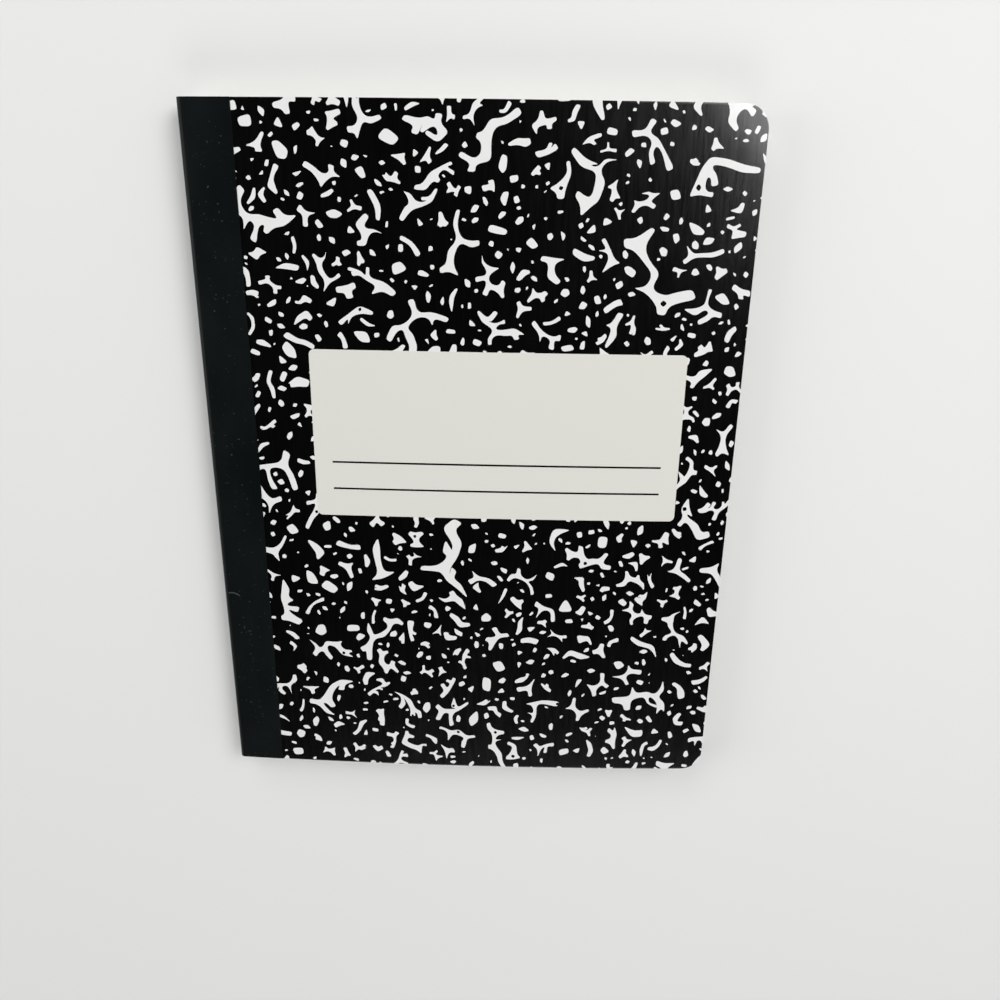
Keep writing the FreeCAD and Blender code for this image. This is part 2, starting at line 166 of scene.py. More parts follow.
class Tree:
    """A material's node tree with one Principled shader."""

    octave_strength: ClassVar[float] = 0.55

    def __init__(self, name: str) -> None:
        """Start an empty material.

        Args:
            name: the material's name.
        """
        self.material = bpy.data.materials.new(name)
        self.material.use_nodes = True
        self.nodes = self.material.node_tree.nodes
        self.links = self.material.node_tree.links
        self.nodes.clear()
        self.shader = self.node("ShaderNodeBsdfPrincipled")
        output = self.node("ShaderNodeOutputMaterial")
        self.links.new(self.shader.outputs[0], output.inputs["Surface"])
        self.place = self.node("ShaderNodeTexCoord").outputs["Object"]

    def node(
        self,
        kind: str,
        settings: dict[str, Any] | None = None,
        sockets: dict[str | int, Any] | None = None,
    ) -> bpy.types.Node:
        """Make any node.

        Args:
            kind: the node's type name.
            settings: its own settings, which are set first.
            sockets: values or links of its inputs, by name or number.

        Returns:
            The node.
        """
        made = self.nodes.new(kind)
        for key, value in (settings or {}).items():
            setattr(made, key, value)
        for key, value in (sockets or {}).items():
            self.feed(made.inputs[key], value)
        return made

    def feed(self, socket: bpy.types.NodeSocket, value: Any) -> None:
        """Link or set one input.

        Args:
            socket: the input.
            value: a value, a socket, a number or a colour.
        """
        if isinstance(value, Value):
            self.links.new(value.socket, socket)
        elif isinstance(value, bpy.types.NodeSocket):
            self.links.new(value, socket)
        elif isinstance(value, tuple) and socket.type == "RGBA":
            socket.default_value = (*value, 1)
        else:
            socket.default_value = value

    def math(self, operation: str, *values: Any) -> Value:
        """Add a Math node.

        Args:
            operation: the node's operation.
            values: numbers or values, in the node's order.

        Returns:
            The result as a value.
        """
        made = self.node("ShaderNodeMath", {"operation": operation}, dict(enumerate(values)))
        return Value(self, made.outputs[0])

    def axes(self) -> tuple[Value, Value, Value]:
        """The object's own x, y and z as values."""
        split = self.node("ShaderNodeSeparateXYZ", None, {0: self.place})
        return tuple(Value(self, split.outputs[k]) for k in range(3))

    def noise(self, scale: Triple, detail: float) -> Value:
        """Noise over object coordinates.

        Args:
            scale: waves per metre along x, y and z.
            detail: octaves of finer noise.

        Returns:
            The noise, about 0.5.
        """
        settings = {"operation": "MULTIPLY"}
        stretched = self.node("ShaderNodeVectorMath", settings, {0: self.place, 1: scale})
        sockets = {
            "Vector": stretched.outputs[0],
            "Scale": 1.0,
            "Detail": detail,
            "Roughness": self.octave_strength,
        }
        return Value(self, self.node("ShaderNodeTexNoise", None, sockets).outputs[0])

    def mix(self, share: Any, low: Any, high: Any) -> bpy.types.NodeSocket:
        """Mix two colours.

        Args:
            share: the second colour's share.
            low: the first colour or its socket.
            high: the second colour or its socket.

        Returns:
            The mixed colour's socket.
        """
        settings = {"data_type": "RGBA"}
        return self.node("ShaderNodeMix", settings, {0: share, 6: low, 7: high}).outputs[2]

    def bump(self, height: Value, distance: float) -> None:
        """Feed a relief into the shader's normal.

        Args:
            height: relief from 0 to 1.
            distance: the relief's depth in metres.
        """
        sockets = {"Height": height, "Distance": distance, "Strength": 1.0}
        relief = self.node("ShaderNodeBump", None, sockets)
        self.feed(self.shader.inputs["Normal"], relief.outputs[0])

    def finish(self, **sockets: Any) -> Material:
        """Set the shader's inputs, whose names are written with underscores.

        Args:
            sockets: each input's value, such as Base_Color.

        Returns:
            The material.
        """
        for key, value in sockets.items():
            self.feed(self.shader.inputs[key.replace("_", " ")], value)
        return self.material


@dataclass(frozen=True)
class Layout:
    """Sizes of the notebook in metres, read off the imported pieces."""

    spine_x: float
    fore_edge_x: float
    board_x: float
    tape_edge_x: float
    head_y: float
    tape: float
    board: float
    lining: float
    front_edge_z: float
    page_low: Triple
    page_high: Triple
    crown_rise: float = 2.4 * MM
    corner_radius: float = 8.0 * MM
    shoulder_radius: float = 2.2 * MM
    droop_reach: float = 17.0 * MM
    droop_length: float = 14.0 * MM
    droop_depth: float = 0.27 * MM

    @classmethod
    def from_frame(cls) -> "Layout":
        """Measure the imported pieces' boxes.

        The front cover's box starts at the inner face of its board along the fore-edge, and
        the layout needs the level of the tape's outer face there.

        Returns:
            The sizes.
        """
        spine_low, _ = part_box("spine_tape")
        board_low, board_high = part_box("back_cover")
        _, lining_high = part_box("back_endpaper")
        _, flap_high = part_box("back_tape_flap")
        front_low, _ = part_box("front_cover")
        page_low, page_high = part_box("page_block")
        measured = cls(
            spine_x=spine_low[0],
            fore_edge_x=board_high[0],
            board_x=board_low[0],
            tape_edge_x=flap_high[0],
            head_y=board_high[1],
            tape=board_low[2],
            board=board_high[2] - board_low[2],
            lining=lining_high[2] - board_high[2],
            front_edge_z=front_low[2],
            page_low=tuple(page_low),
            page_high=tuple(page_high),
        )
        radius, reach = measured.crown_radius, measured.fore_edge_x
        under = radius - measured.tape - measured.board
        rise = math.sqrt(radius**2 - reach**2) - math.sqrt(under**2 - reach**2)
        return replace(measured, front_edge_z=measured.front_edge_z + rise)

    @property
    def crown_radius(self) -> float:
        """Radius of the front's crown at the tape's outer face."""
        width = self.fore_edge_x - self.spine_x
        return width**2 / (8 * self.crown_rise) + self.crown_rise / 2

    @property
    def crown_axis_z(self) -> float:
        """Height of the line that the crown's arcs turn about."""
        return self.front_edge_z + self.crown_rise - self.crown_radius

    @property
    def shoulder_x(self) -> float:
        """Where the rounded spine ends and the flat of a cover starts."""
        return self.spine_x + self.shoulder_radius

    @property
    def front_shoulder_z(self) -> float:
        """Height of the front shoulder's centre."""
        reach = self.crown_radius - self.shoulder_radius
        return self.crown_axis_z + math.sqrt(reach**2 - self.shoulder_x**2)

    def crown(self, depth: float) -> Height:
        """Height of the front at a depth under the tape's outer face.

        The height is the crown axis plus the square root of radius squared minus x squared,
        less the slight droop of the worn corner at the head of the fore-edge.

        Args:
            depth: distance under the tape's outer face.

        Returns:
            A function of x and y.
        """

        def height(x: Grid, y: Grid) -> Grid:
            """Height of the curved front at x and y."""
            round_part = np.sqrt((self.crown_radius - depth) ** 2 - x**2)
            return self.crown_axis_z + round_part + self.corner_lift(x, y)

        return height

    def corner_lift(self, x: Grid, y: Grid) -> Grid:
        """Droop of the cover's worn corner: a share squared of the distance past a diagonal.

        Args:
            x: places across.
            y: places along.

        Returns:
            The lift in metres, which is negative.
        """
        toward = (x - self.fore_edge_x + y - self.head_y) / math.sqrt(2) + self.droop_reach
        share = np.clip(toward / self.droop_length, 0, 1)
        return -self.droop_depth * share**2

    def cover_plan(self) -> "PlanOutline":
        """Outline of a board: square at the spine and round at the fore-edge."""
        return PlanOutline(
            self.board_x, self.fore_edge_x, -self.head_y, self.head_y, 0.0, self.corner_radius
        )

    def flat(self, level: float) -> Height:
        """A level plane as a height function.

        Args:
            level: its height.

        Returns:
            A function of x and y.
        """
        return lambda x, y: np.full(np.shape(x), level)


def place_mesh(
    name: str,
    points: Grid,
    faces: Sequence[Grid],
    slots: Sequence[int],
    materials: Sequence[Material],
    smooth_angle: float = 35.0,
) -> Piece:
    """Make an object from whole arrays.

    Args:
        name: the piece's name.
        points: places, one row each.
        faces: arrays of quads or triangles, one row each.
        slots: the material slot of each array of faces.
        materials: the slots' materials.
        smooth_angle: edges sharper than this many degrees stay crisp.

    Returns:
        The object, at the origin.
    """
    mesh = bpy.data.meshes.new(name)
    corners = [np.asarray(part, np.int32) for part in faces]
    sizes = np.concatenate([np.full(len(part), part.shape[1], np.int32) for part in corners])
    loops = np.concatenate([part.ravel() for part in corners])
    starts = np.concatenate([[0], np.cumsum(sizes)[:-1]]).astype(np.int32)
    mesh.vertices.add(len(points))
    mesh.vertices.foreach_set("co", np.asarray(points, np.float32).ravel())
    mesh.loops.add(len(loops))
    mesh.loops.foreach_set("vertex_index", loops)
    mesh.polygons.add(len(sizes))
    mesh.polygons.foreach_set("loop_start", starts)
    indices = np.concatenate([np.full(len(p), s, np.int32) for p, s in zip(corners, slots)])
    for material in materials:
        mesh.materials.append(material)
    mesh.polygons.foreach_set("material_index", indices)
    mesh.update(calc_edges=True)
    mesh.validate()
    mesh.shade_smooth()
    mesh.set_sharp_from_angle(angle=math.radians(smooth_angle))
    made = bpy.data.objects.new(name, mesh)
    bpy.context.scene.collection.objects.link(made)
    return made


def weld(piece: Piece, distance: float = 1e-7) -> None:
    """Merge points that lie on each other and drop faces without area.

    Args:
        piece: the object.
        distance: how near two points have to be.
    """
    work = bmesh.new()
    work.from_mesh(piece.data)
    bmesh.ops.remove_doubles(work, verts=work.verts, dist=distance)
    bmesh.ops.dissolve_degenerate(work, edges=work.edges, dist=distance)
    bmesh.ops.recalc_face_normals(work, faces=work.faces)
    work.to_mesh(piece.data)
    work.free()
    piece.data.update()


def enlist(piece: Piece, body: str, slot: str, *nodes: str) -> Piece:
    """Let a piece ride on a body and stand for its nodes.

    Args:
        piece: the object.
        body: the body that it moves with.
        slot: the record's material slot; not used.
        nodes: the nodes that it replaces.

    Returns:
        The piece.
    """
    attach(piece, body)
    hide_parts(*nodes)
    return piece


def quads(numbers: Grid) -> Grid:
    """Quads between neighbouring points.

    Args:
        numbers: the points' numbers, as a grid.

    Returns:
        The quads, one row each.
    """
    corners = [numbers[:-1, :-1], numbers[:-1, 1:], numbers[1:, 1:], numbers[1:, :-1]]
    return np.stack(corners, -1).reshape(-1, 4)


def lattice(rows: int, columns: int, start: int = 0, wrap: bool = False) -> Grid:
    """Quads of a grid whose points are numbered row by row.

    Args:
        rows: number of rows.
        columns: points in each row.
        start: the first point's number.
        wrap: whether each row closes on itself.

    Returns:
        The quads, one row each.
    """
    numbers = start + np.arange(rows * columns).reshape(rows, columns)
    return quads(np.column_stack([numbers, numbers[:, :1]]) if wrap else numbers)


@dataclass(frozen=True)
class PlanOutline:
    """A rectangle in plan whose corners are rounded at its left and right ends.

    The first row inside each rim lies near it, by a share of the half height.
    """

    rim_share: ClassVar[float] = 0.004
    left: float
    right: float
    low: float
    high: float
    left_radius: float = 0.0
    right_radius: float = 0.0

    def inset(self, amount: float) -> "PlanOutline":
        """The same outline drawn in by an amount."""
        return PlanOutline(
            self.left + amount,
            self.right - amount,
            self.low + amount,
            self.high - amount,
            max(self.left_radius - amount, 0),
            max(self.right_radius - amount, 0),
        )

    def in_mm(self) -> "PlanOutline":
        """The same outline with its sizes in mm."""
        return PlanOutline(*(value / MM for value in vars(self).values()))

    def grid(self, columns: int, rows: int, arc: int = 10) -> tuple[Grid, Grid]:
        """Points over the outline: x by columns, and y as a share of the half height there.

        Near a rounded end x is the radius times one minus the cosine of an angle, and the
        half height loses the radius times one minus that angle's sine.

        Args:
            columns: columns of the straight part.
            rows: rows from the low to the high side.
            arc: columns of each rounded end.

        Returns:
            The x and y of each point, as rows by columns.
        """
        turn = np.linspace(0, np.pi / 2, arc + 1)
        x = np.linspace(self.left + self.left_radius, self.right - self.right_radius, columns)
        loss = np.zeros(columns)
        if self.left_radius > 0:
            x = np.concatenate([self.left + self.left_radius * (1 - np.cos(turn[:-1])), x])
            loss = np.concatenate([self.left_radius * (1 - np.sin(turn[:-1])), loss])
        if self.right_radius > 0:
            back = turn[::-1][1:]
            x = np.concatenate([x, self.right - self.right_radius * (1 - np.cos(back))])
            loss = np.concatenate([loss, self.right_radius * (1 - np.sin(back))])
        half = (self.high - self.low) / 2 - loss
        share = np.linspace(-1, 1, rows)
        if rows > 4:
            share[1], share[-2] = self.rim_share - 1, 1 - self.rim_share
        share = share[:, None]
        return np.broadcast_to(x, (rows, len(x))), (self.high + self.low) / 2 + share * half

    def loop(self, arc: int = 10) -> Outline2D:
        """The outline as points, anticlockwise from the low left corner."""
        x, y = self.grid(2, 2, arc)
        low = list(zip(x[0], y[0]))
        high = list(zip(x[1][::-1], y[1][::-1]))
        return [(float(a), float(b)) for a, b in low + high]


def rim_of(rows: int, columns: int) -> Grid:
    """Numbers of the points round a grid's rim, anticlockwise from its first point.

    Args:
        rows: number of rows.
        columns: points in each row.

    Returns:
        The numbers.
    """
    return np.concatenate([
        np.arange(columns - 1),
        columns - 1 + columns * np.arange(rows - 1),
        rows * columns - 1 - np.arange(columns - 1),
        columns * np.arange(rows - 1, 0, -1),
    ])


def make_plate(
    name: str,
    plan: PlanOutline,
    top: Height,
    bottom: Height,
    rounding: float,
    materials: Sequence[Material],
    columns: int = 64,
    rows: int = 72,
) -> Piece:
    """A closed sheet between two height functions, with its edges slightly rounded.

    Both faces are grids over the outline drawn in by the rounding. The edge is a ring of
    points: rim plus outward normal times rounding times a cosine, at a height that eases by
    one minus a sine from each face.

    Args:
        name: the piece's name.
        plan: its outline.
        top: height of its upper face.
        bottom: height of its lower face.
        rounding: radius of its edges.
        materials: of the upper face, the edge and the lower face.
        columns: columns of the straight part.
        rows: rows of the grid.

    Returns:
        The object.
    """
    inner = plan.inset(rounding)
    x, y = inner.grid(columns, rows)
    outer_x, outer_y = replace(
        plan,
        left_radius=inner.left_radius + rounding * (inner.left_radius > 0),
        right_radius=inner.right_radius + rounding * (inner.right_radius > 0),
    ).grid(columns, rows)
    count_y, count_x = x.shape
    rim = rim_of(count_y, count_x)
    rim_x, rim_y = x.ravel()[rim], y.ravel()[rim]
    edge_x, edge_y = outer_x.ravel()[rim], outer_y.ravel()[rim]
    turns = np.radians([60, 30, 0, 0, -30, -60])
    rings = []
    for step, turn in enumerate(turns):
        ring_x = rim_x + (edge_x - rim_x) * math.cos(turn)
        ring_y = rim_y + (edge_y - rim_y) * math.cos(turn)
        upper = step < len(turns) // 2
        level = top(rim_x, rim_y) if upper else bottom(rim_x, rim_y)
        sink = rounding * (1 - abs(math.sin(turn)))
        rings.append(np.stack([ring_x, ring_y, level - sink if upper else level + sink], -1))
    upper_points = np.stack([x, y, top(x, y)], -1).reshape(-1, 3)
    lower_points = np.stack([x, y, bottom(x, y)], -1).reshape(-1, 3)
    points = np.concatenate([upper_points, lower_points, *rings])
    area = count_x * count_y
    around = len(rim)
    levels = [rim, *(2 * area + k * around + np.arange(around) for k in range(len(turns)))]
    levels.append(area + rim)
    bands = [
        np.stack([low, np.roll(low, -1), np.roll(up, -1), up], -1)
        for up, low in zip(levels, levels[1:])
    ]
    half = len(turns) // 2 - 1
    faces = [
        lattice(count_y, count_x),
        lattice(count_y, count_x, area)[:, ::-1],
        np.concatenate(bands[:half]),
        np.concatenate(bands[half:]),
    ]
    return place_mesh(name, points, faces, [0, 2, 0, 1], materials)


@dataclass(frozen=True)
class MarbledPrint:
    """The traditional marbled pattern: white flecks scattered on black. Sizes are in mm.

    A fleck grows in its own units about a skeleton and is then scaled to its size. A pair is
    the bounds of a random draw, and a chance is the share of the cases.
    """

    repeat_width: float = 192.0
    repeat_height: float = 252.0
    pitch: float = 6.3
    size_median: float = 1.89
    size_limit: float = 12.0
    size_spread: float = 0.64
    spacing: float = 0.7
    large_share: float = 0.086
    fork_ranks: tuple[float, ...] = (1.0, 0.085, 0.045, 0.02, 0.008, 0.003)
    more_forks_chance: float = 0.45
    limb_chance: float = 0.72
    forked_share: float = 0.25
    bent_share: float = 0.40
    bent_chance: float = 0.8
    two_bends_chance: float = 0.6
    bent_bulk: Pair = (0.95, 1.4)
    eye_share: float = 0.3
    eye_least: float = 1.1
    eye_reach: Pair = (0.48, 0.72)
    eye_turn: Pair = (0.0, 1.5)
    seed: int = 29
    tries: int = 400

    # How a branched fleck's skeleton grows, and the outline round it
    trunk_length: Pair = (0.65, 1.2)
    trunk_half: Pair = (0.11, 0.36)
    bend: Pair = (0.35, 1.45)
    limb_angle: Pair = (0.75, 1.7)
    limb_length: Pair = (0.55, 1.0)
    limb_half: Pair = (0.05, 0.28)
    twig_chance: float = 0.4
    twig_angle: Pair = (-1.1, 1.1)
    twig_length: Pair = (0.5, 0.9)
    twig_half: Pair = (0.05, 0.25)
    counter_chance: float = 0.3
    counter_bend: float = -0.4
    other_side_chance: float = 0.6
    end_length: Pair = (0.6, 1.2)
    end_half: Pair = (0.05, 0.30)
    point_half: float = 0.12
    tip_reach: Pair = (-0.25, 0.6)
    crotch_reach: float = 1.35
    least_area: float = 0.4

    # The small flecks that are plain polygons
    fourth_corner_chance: float = 0.88
    fifth_corner_chance: float = 0.3
    grain_shift: Pair = (-0.2, 0.2)
    grain_radius: Pair = (0.85, 1.15)
    grain_stretch: Pair = (1.0, 2.2)
    triangle_stretch: Pair = (1.0, 1.6)
    grain_bend: Pair = (-0.16, 0.16)
    grain_guard: float = 0.9

    # How far the rounding of a corner reaches along its sides, and how much a fleck may grow
    hollow_reach: float = 0.5
    corner_reach: float = 0.34
    growth_limit: float = 1.07

    def skeleton(self, draw: Draw, joints: int, limbs: float) -> tuple[list, list]:
        """Branching line of a fleck: a bent trunk with limbs outside its bends.

        Args:
            draw: gives a random number between two bounds.
            joints: how many forks the trunk has.
            limbs: how often a fork carries a limb.

        Returns:
            Nodes as (x, y, half width), and the neighbours of each.
        """
        heading = draw(0, 2 * math.pi)
        side = 1 if draw(0, 1) < 0.5 else -1
        nodes = [(0.0, 0.0, draw(*self.limb_half))]
        links: list[list[int]] = [[]]

        def add_node(parent: int, angle: float, length: float, half: float) -> int:
            """Grow one node from its parent and return its number."""
            x, y, _ = nodes[parent]
            nodes.append((x + length * math.cos(angle), y + length * math.sin(angle), half))
            links.append([parent])
            links[parent].append(len(nodes) - 1)
            return len(nodes) - 1

        trunk = 0
        for _ in range(joints):
            trunk = add_node(trunk, heading, draw(*self.trunk_length), draw(*self.trunk_half))
            turn = side * draw(*self.bend)
            if draw(0, 1) < limbs:
                aim = heading - side * draw(*self.limb_angle)
                limb = add_node(trunk, aim, draw(*self.limb_length), draw(*self.limb_half))
                if joints > 2 and draw(0, 1) < self.twig_chance:
                    aim += draw(*self.twig_angle)
                    add_node(limb, aim, draw(*self.twig_length), draw(*self.twig_half))
            if draw(0, 1) < self.counter_chance:
                turn *= self.counter_bend
            heading += turn
            side = -side if draw(0, 1) < self.other_side_chance else side
        add_node(trunk, heading, draw(*self.end_length), draw(*self.end_half))
        return nodes, links

    def trace(self, draw: Draw, nodes: list, links: list) -> Outline2D:
        """Closed outline round a skeleton, with blunt or pointed tips and a crotch at forks.

        Args:
            draw: gives a random number between two bounds.
            nodes: the skeleton's nodes.
            links: each node's neighbours.

        Returns:
            The outline's corners.
        """
        angles = []
        for index, near in enumerate(links):
            x, y, _ = nodes[index]
            angles.append(sorted((math.atan2(nodes[k][1] - y, nodes[k][0] - x), k) for k in near))
        outline: Outline2D = []
        before, here = links[0][0], 0
        while True:
            x, y, half = nodes[here]
            back = math.atan2(nodes[before][1] - y, nodes[before][0] - x)
            if len(links[here]) == 1:
                ahead = back + math.pi
                if half < self.point_half:
                    reach = self.point_half
                    outline.append((x + reach * math.cos(ahead), y + reach * math.sin(ahead)))
                else:
                    for turn in (-1, 1):
                        reach = half * draw(*self.tip_reach)
                        across = ahead + turn * math.pi / 2
                        outline.append((
                            x + reach * math.cos(ahead) + half * math.cos(across),
                            y + reach * math.sin(ahead) + half * math.sin(across),
                        ))
                following = before
            else:
                ordered = angles[here]
                place = [k for _, k in ordered].index(before)
                next_angle, following = ordered[(place + 1) % len(ordered)]
                gap = (next_angle - back) % (2 * math.pi)
                reach = half * min(1 / max(math.sin(gap / 2), 0.1), self.crotch_reach)
                middle = back + gap / 2
                outline.append((x + reach * math.cos(middle), y + reach * math.sin(middle)))
            before, here = here, following
            if here == 0 and before == links[0][0]:
                return outline

    @staticmethod
    def shoelace(outline: Outline2D) -> float:
        """Signed area of a closed outline."""
        x, y = np.array(outline).T
        return float(np.sum(x * np.roll(y, -1) - y * np.roll(x, -1)) / 2)

    @staticmethod
    def is_simple(outline: Outline2D) -> bool:
        """Whether an outline runs once round without crossing itself.

        Args:
            outline: the closed outline's corners.

        Returns:
            True where no two of its sides cross.
        """
        p = np.array(outline)
        q = np.roll(p, -1, 0)

        def side(a: Grid, b: Grid, c: Grid) -> Grid:
            """Which side of the line ab the point c is on."""
            return (b[..., 0] - a[..., 0]) * (c[..., 1] - a[..., 1]) - (
                b[..., 1] - a[..., 1]
            ) * (c[..., 0] - a[..., 0])

        i, j = np.triu_indices(len(p), 2)
        keep = ~((i == 0) & (j == len(p) - 1))
        a, b, c, d = p[i[keep]], q[i[keep]], p[j[keep]], q[j[keep]]
        first = side(a, b, c) * side(a, b, d) < 0
        return not np.any(first & (side(c, d, a) * side(c, d, b) < 0))

    def branched(
        self, draw: Draw, size: float, joints: int, limbs: float, bulk: float = 1.0
    ) -> tuple[Grid, Grid]:
        """A fleck with limbs, about its own middle.

        Args:
            draw: gives a random number between two bounds.
            size: the square root of its area.
            joints: how many forks it has.
            limbs: how often a fork carries a limb.
            bulk: how much wider its arms are than usual.

        Returns:
            Its corners, and its guard circles as (x, y, radius).
        """
        while True:
            nodes, links = self.skeleton(draw, joints, limbs)
            nodes = [(x, y, half * bulk) for x, y, half in nodes]
            outline = self.trace(draw, nodes, links)
            if self.is_simple(outline) and self.shoelace(outline) > self.least_area:
                break
        scale = size / math.sqrt(self.shoelace(outline))
        corners = np.array(outline)
        middle = corners.mean(0)
        spots = np.array(nodes)
        pairs = [(a, b) for a, near in enumerate(links) for b in near if b > a]
        low, high = np.array(pairs).T
        share = np.array([0.25, 0.5, 0.75])[:, None, None]
        between = spots[low] + (spots[high] - spots[low]) * share
        guards = np.concatenate([spots, between.reshape(-1, 3)])
        guards[:, :2] -= middle
        return (corners - middle) * scale, guards * scale

    def grain(self, draw: Draw, size: float) -> tuple[Grid, Grid]:
        """A small fleck: a polygon on an ellipse, stretched and slightly bent.

        The corners lie at even angles with a random shift, and y gains a share of x squared.

        Args:
            draw: gives a random number between two bounds.
            size: the square root of its area.

        Returns:
            Its corners, and its guard circles as (x, y, radius).
        """
        count = 3 + int(draw(0, 1) < self.fourth_corner_chance)
        count += int(draw(0, 1) < self.fifth_corner_chance)
        shifts = [draw(*self.grain_shift) for _ in range(count)]
        angles = 2 * np.pi * (np.arange(count) + shifts) / count
        if count == 4 and draw(0, 1) < 0.5:
            angles += math.pi / 4
        radii = np.array([draw(*self.grain_radius) for _ in range(count)])
        stretch = draw(*(self.grain_stretch if count > 3 else self.triangle_stretch))
        x = stretch * radii * np.cos(angles)
        y = radii * np.sin(angles) + draw(*self.grain_bend) * x**2 / stretch
        turn = draw(0, 2 * math.pi)
        cosine, sine = math.cos(turn), math.sin(turn)
        corners = np.stack([x * cosine - y * sine, x * sine + y * cosine], -1)
        scale = size / math.sqrt(abs(self.shoelace(corners.tolist())))
        along = np.array([cosine, sine]) * (stretch - self.grain_guard)
        spots = np.array([[*(k * along), self.grain_guard] for k in (-1, 0, 1)])
        return (corners - corners.mean(0)) * scale, spots * scale

    def is_clear(self, spots: Grid, placed: Grid) -> bool:
        """Whether guard circles keep the spacing to all circles placed before.

        Args:
            spots: the new circles.
            placed: the circles placed before.

        Returns:
            True where there is room.
        """
        gap = spots[:, None, :2] - placed[None, :, :2]
        period = np.array([self.repeat_width, self.repeat_height])
        gap -= period * np.round(gap / period)
        reach = spots[:, None, 2] + placed[None, :, 2] + self.spacing
        return not np.any(np.hypot(gap[..., 0], gap[..., 1]) < reach)

    def eye(self, pick: Draw, wide: Grid) -> Grid:
        """The black eye of a fleck: four corners about one of its guard circles.

        Args:
            pick: gives a random number between two bounds.
            wide: the circle as (x, y, radius).

        Returns:
            The eye's corners.
        """
        turns = np.pi / 2 * np.arange(4) + pick(*self.eye_turn)
        reach = wide[2] * np.array([pick(*self.eye_reach) for _ in range(4)])
        return wide[:2] + np.stack([reach * np.cos(turns), reach * np.sin(turns)], -1)

    def scatter(self) -> tuple[list[Grid], list[Grid]]:
        """Scatter one repeat of flecks, the largest first, so that they keep their spacing.

        Their sizes follow a bell curve of the logarithm of the size.

        Returns:
            The corners of every fleck, and of the eyes.
        """
        draw = random.Random(self.seed).uniform
        pick = random.Random(self.seed + 1).uniform
        count = round(self.repeat_width * self.repeat_height / self.pitch**2)
        bell = NormalDist(math.log(self.size_median), self.size_spread)
        large = round(self.large_share * count)
        placed = np.zeros((0, 3))
        flecks: list[Grid] = []
        eyes: list[Grid] = []
        for index in range(count):
            rank = index / count
            size = min(math.exp(bell.inv_cdf(1 - (index + 0.5) / count)), self.size_limit)
            if index < large:
                joints = sum(rank < limit for limit in self.fork_ranks)
                joints += draw(0, 1) < self.more_forks_chance
                corners, guards = self.branched(draw, size, joints, self.limb_chance)
            elif rank < self.bent_share and draw(0, 1) < self.bent_chance:
                limbs = 1.0 if draw(0, 1) < 0.5 else 0.0
                forked = rank < self.forked_share and draw(0, 1) < self.two_bends_chance
                bulk = draw(*self.bent_bulk)
                corners, guards = self.branched(draw, size, 2 if forked else 1, limbs, bulk)
            else:
                corners, guards = self.grain(draw, size)
            for _ in range(self.tries):
                spot = np.array([draw(0, self.repeat_width), draw(0, self.repeat_height)])
                moved = guards + [*spot, 0]
                if self.is_clear(moved, placed):
                    placed = np.concatenate([placed, moved])
                    flecks.append(corners + spot)
                    wide = moved[np.argmax(moved[:, 2])]
                    roomy = index < large and wide[2] > self.eye_least
                    if roomy and pick(0, 1) < self.eye_share:
                        eyes.append(self.eye(pick, wide))
                    break
        return flecks, eyes

    def over(self, flecks: Sequence[Grid], plan: PlanOutline) -> Iterator[Grid]:
        """Every copy of the repeating flecks that reaches into a plan.

        Args:
            flecks: one repeat's outlines.
            plan: the printed area in mm.

        Yields:
            Each copy's corners.
        """
        period = np.array([self.repeat_width, self.repeat_height])
        low = np.array([plan.left, plan.low])
        high = np.array([plan.right, plan.high])
        for corners in flecks:
            first = np.floor((low - corners.max(0)) / period).astype(int) + 1
            last = np.ceil((high - corners.min(0)) / period).astype(int)
            for column in range(first[0], last[0]):
                for row in range(first[1], last[1]):
                    yield corners + period * [column, row]

    def soften(self, corners: Grid) -> Grid:
        """Round a polygon's corners with a quadratic curve at each, and keep its area.

        The curve starts and ends on the two sides: at their middles where the corner is
        hollow, and nearer to the corner where it stands out. Branched shapes get finer
        curves than plain ones.

        Args:
            corners: the polygon.

        Returns:
            The rounded outline.
        """
        before, after = np.roll(corners, 1, 0), np.roll(corners, -1, 0)
        into, out = corners - before, after - corners
        hollow = (into[:, 0] * out[:, 1] - into[:, 1] * out[:, 0]) < 0
        reach = np.where(hollow, self.hollow_reach, self.corner_reach)[:, None]
        start, end = corners - reach * into, corners + reach * out
        share = np.linspace(0, 1, 5 if len(corners) > 6 else 4)[None, :, None]
        curve = (
            (1 - share) ** 2 * start[:, None]
            + 2 * share * (1 - share) * corners[:, None]
            + share**2 * end[:, None]
        )
        flat = curve.reshape(-1, 2)
        middle = flat.mean(0)
        full_area, area = (abs(self.shoelace(shape)) for shape in (corners, flat))
        flat = middle + (flat - middle) * min(math.sqrt(full_area / area), self.growth_limit)
        apart = np.linalg.norm(flat - np.roll(flat, -1, 0), axis=1) > 1e-4
        return flat[apart]


# Both in mm: the width of the strips that a film is cut into, and how far the cuts reach past it.
FILM_STRIP = 5.0
FILM_OVERHANG = 30.0


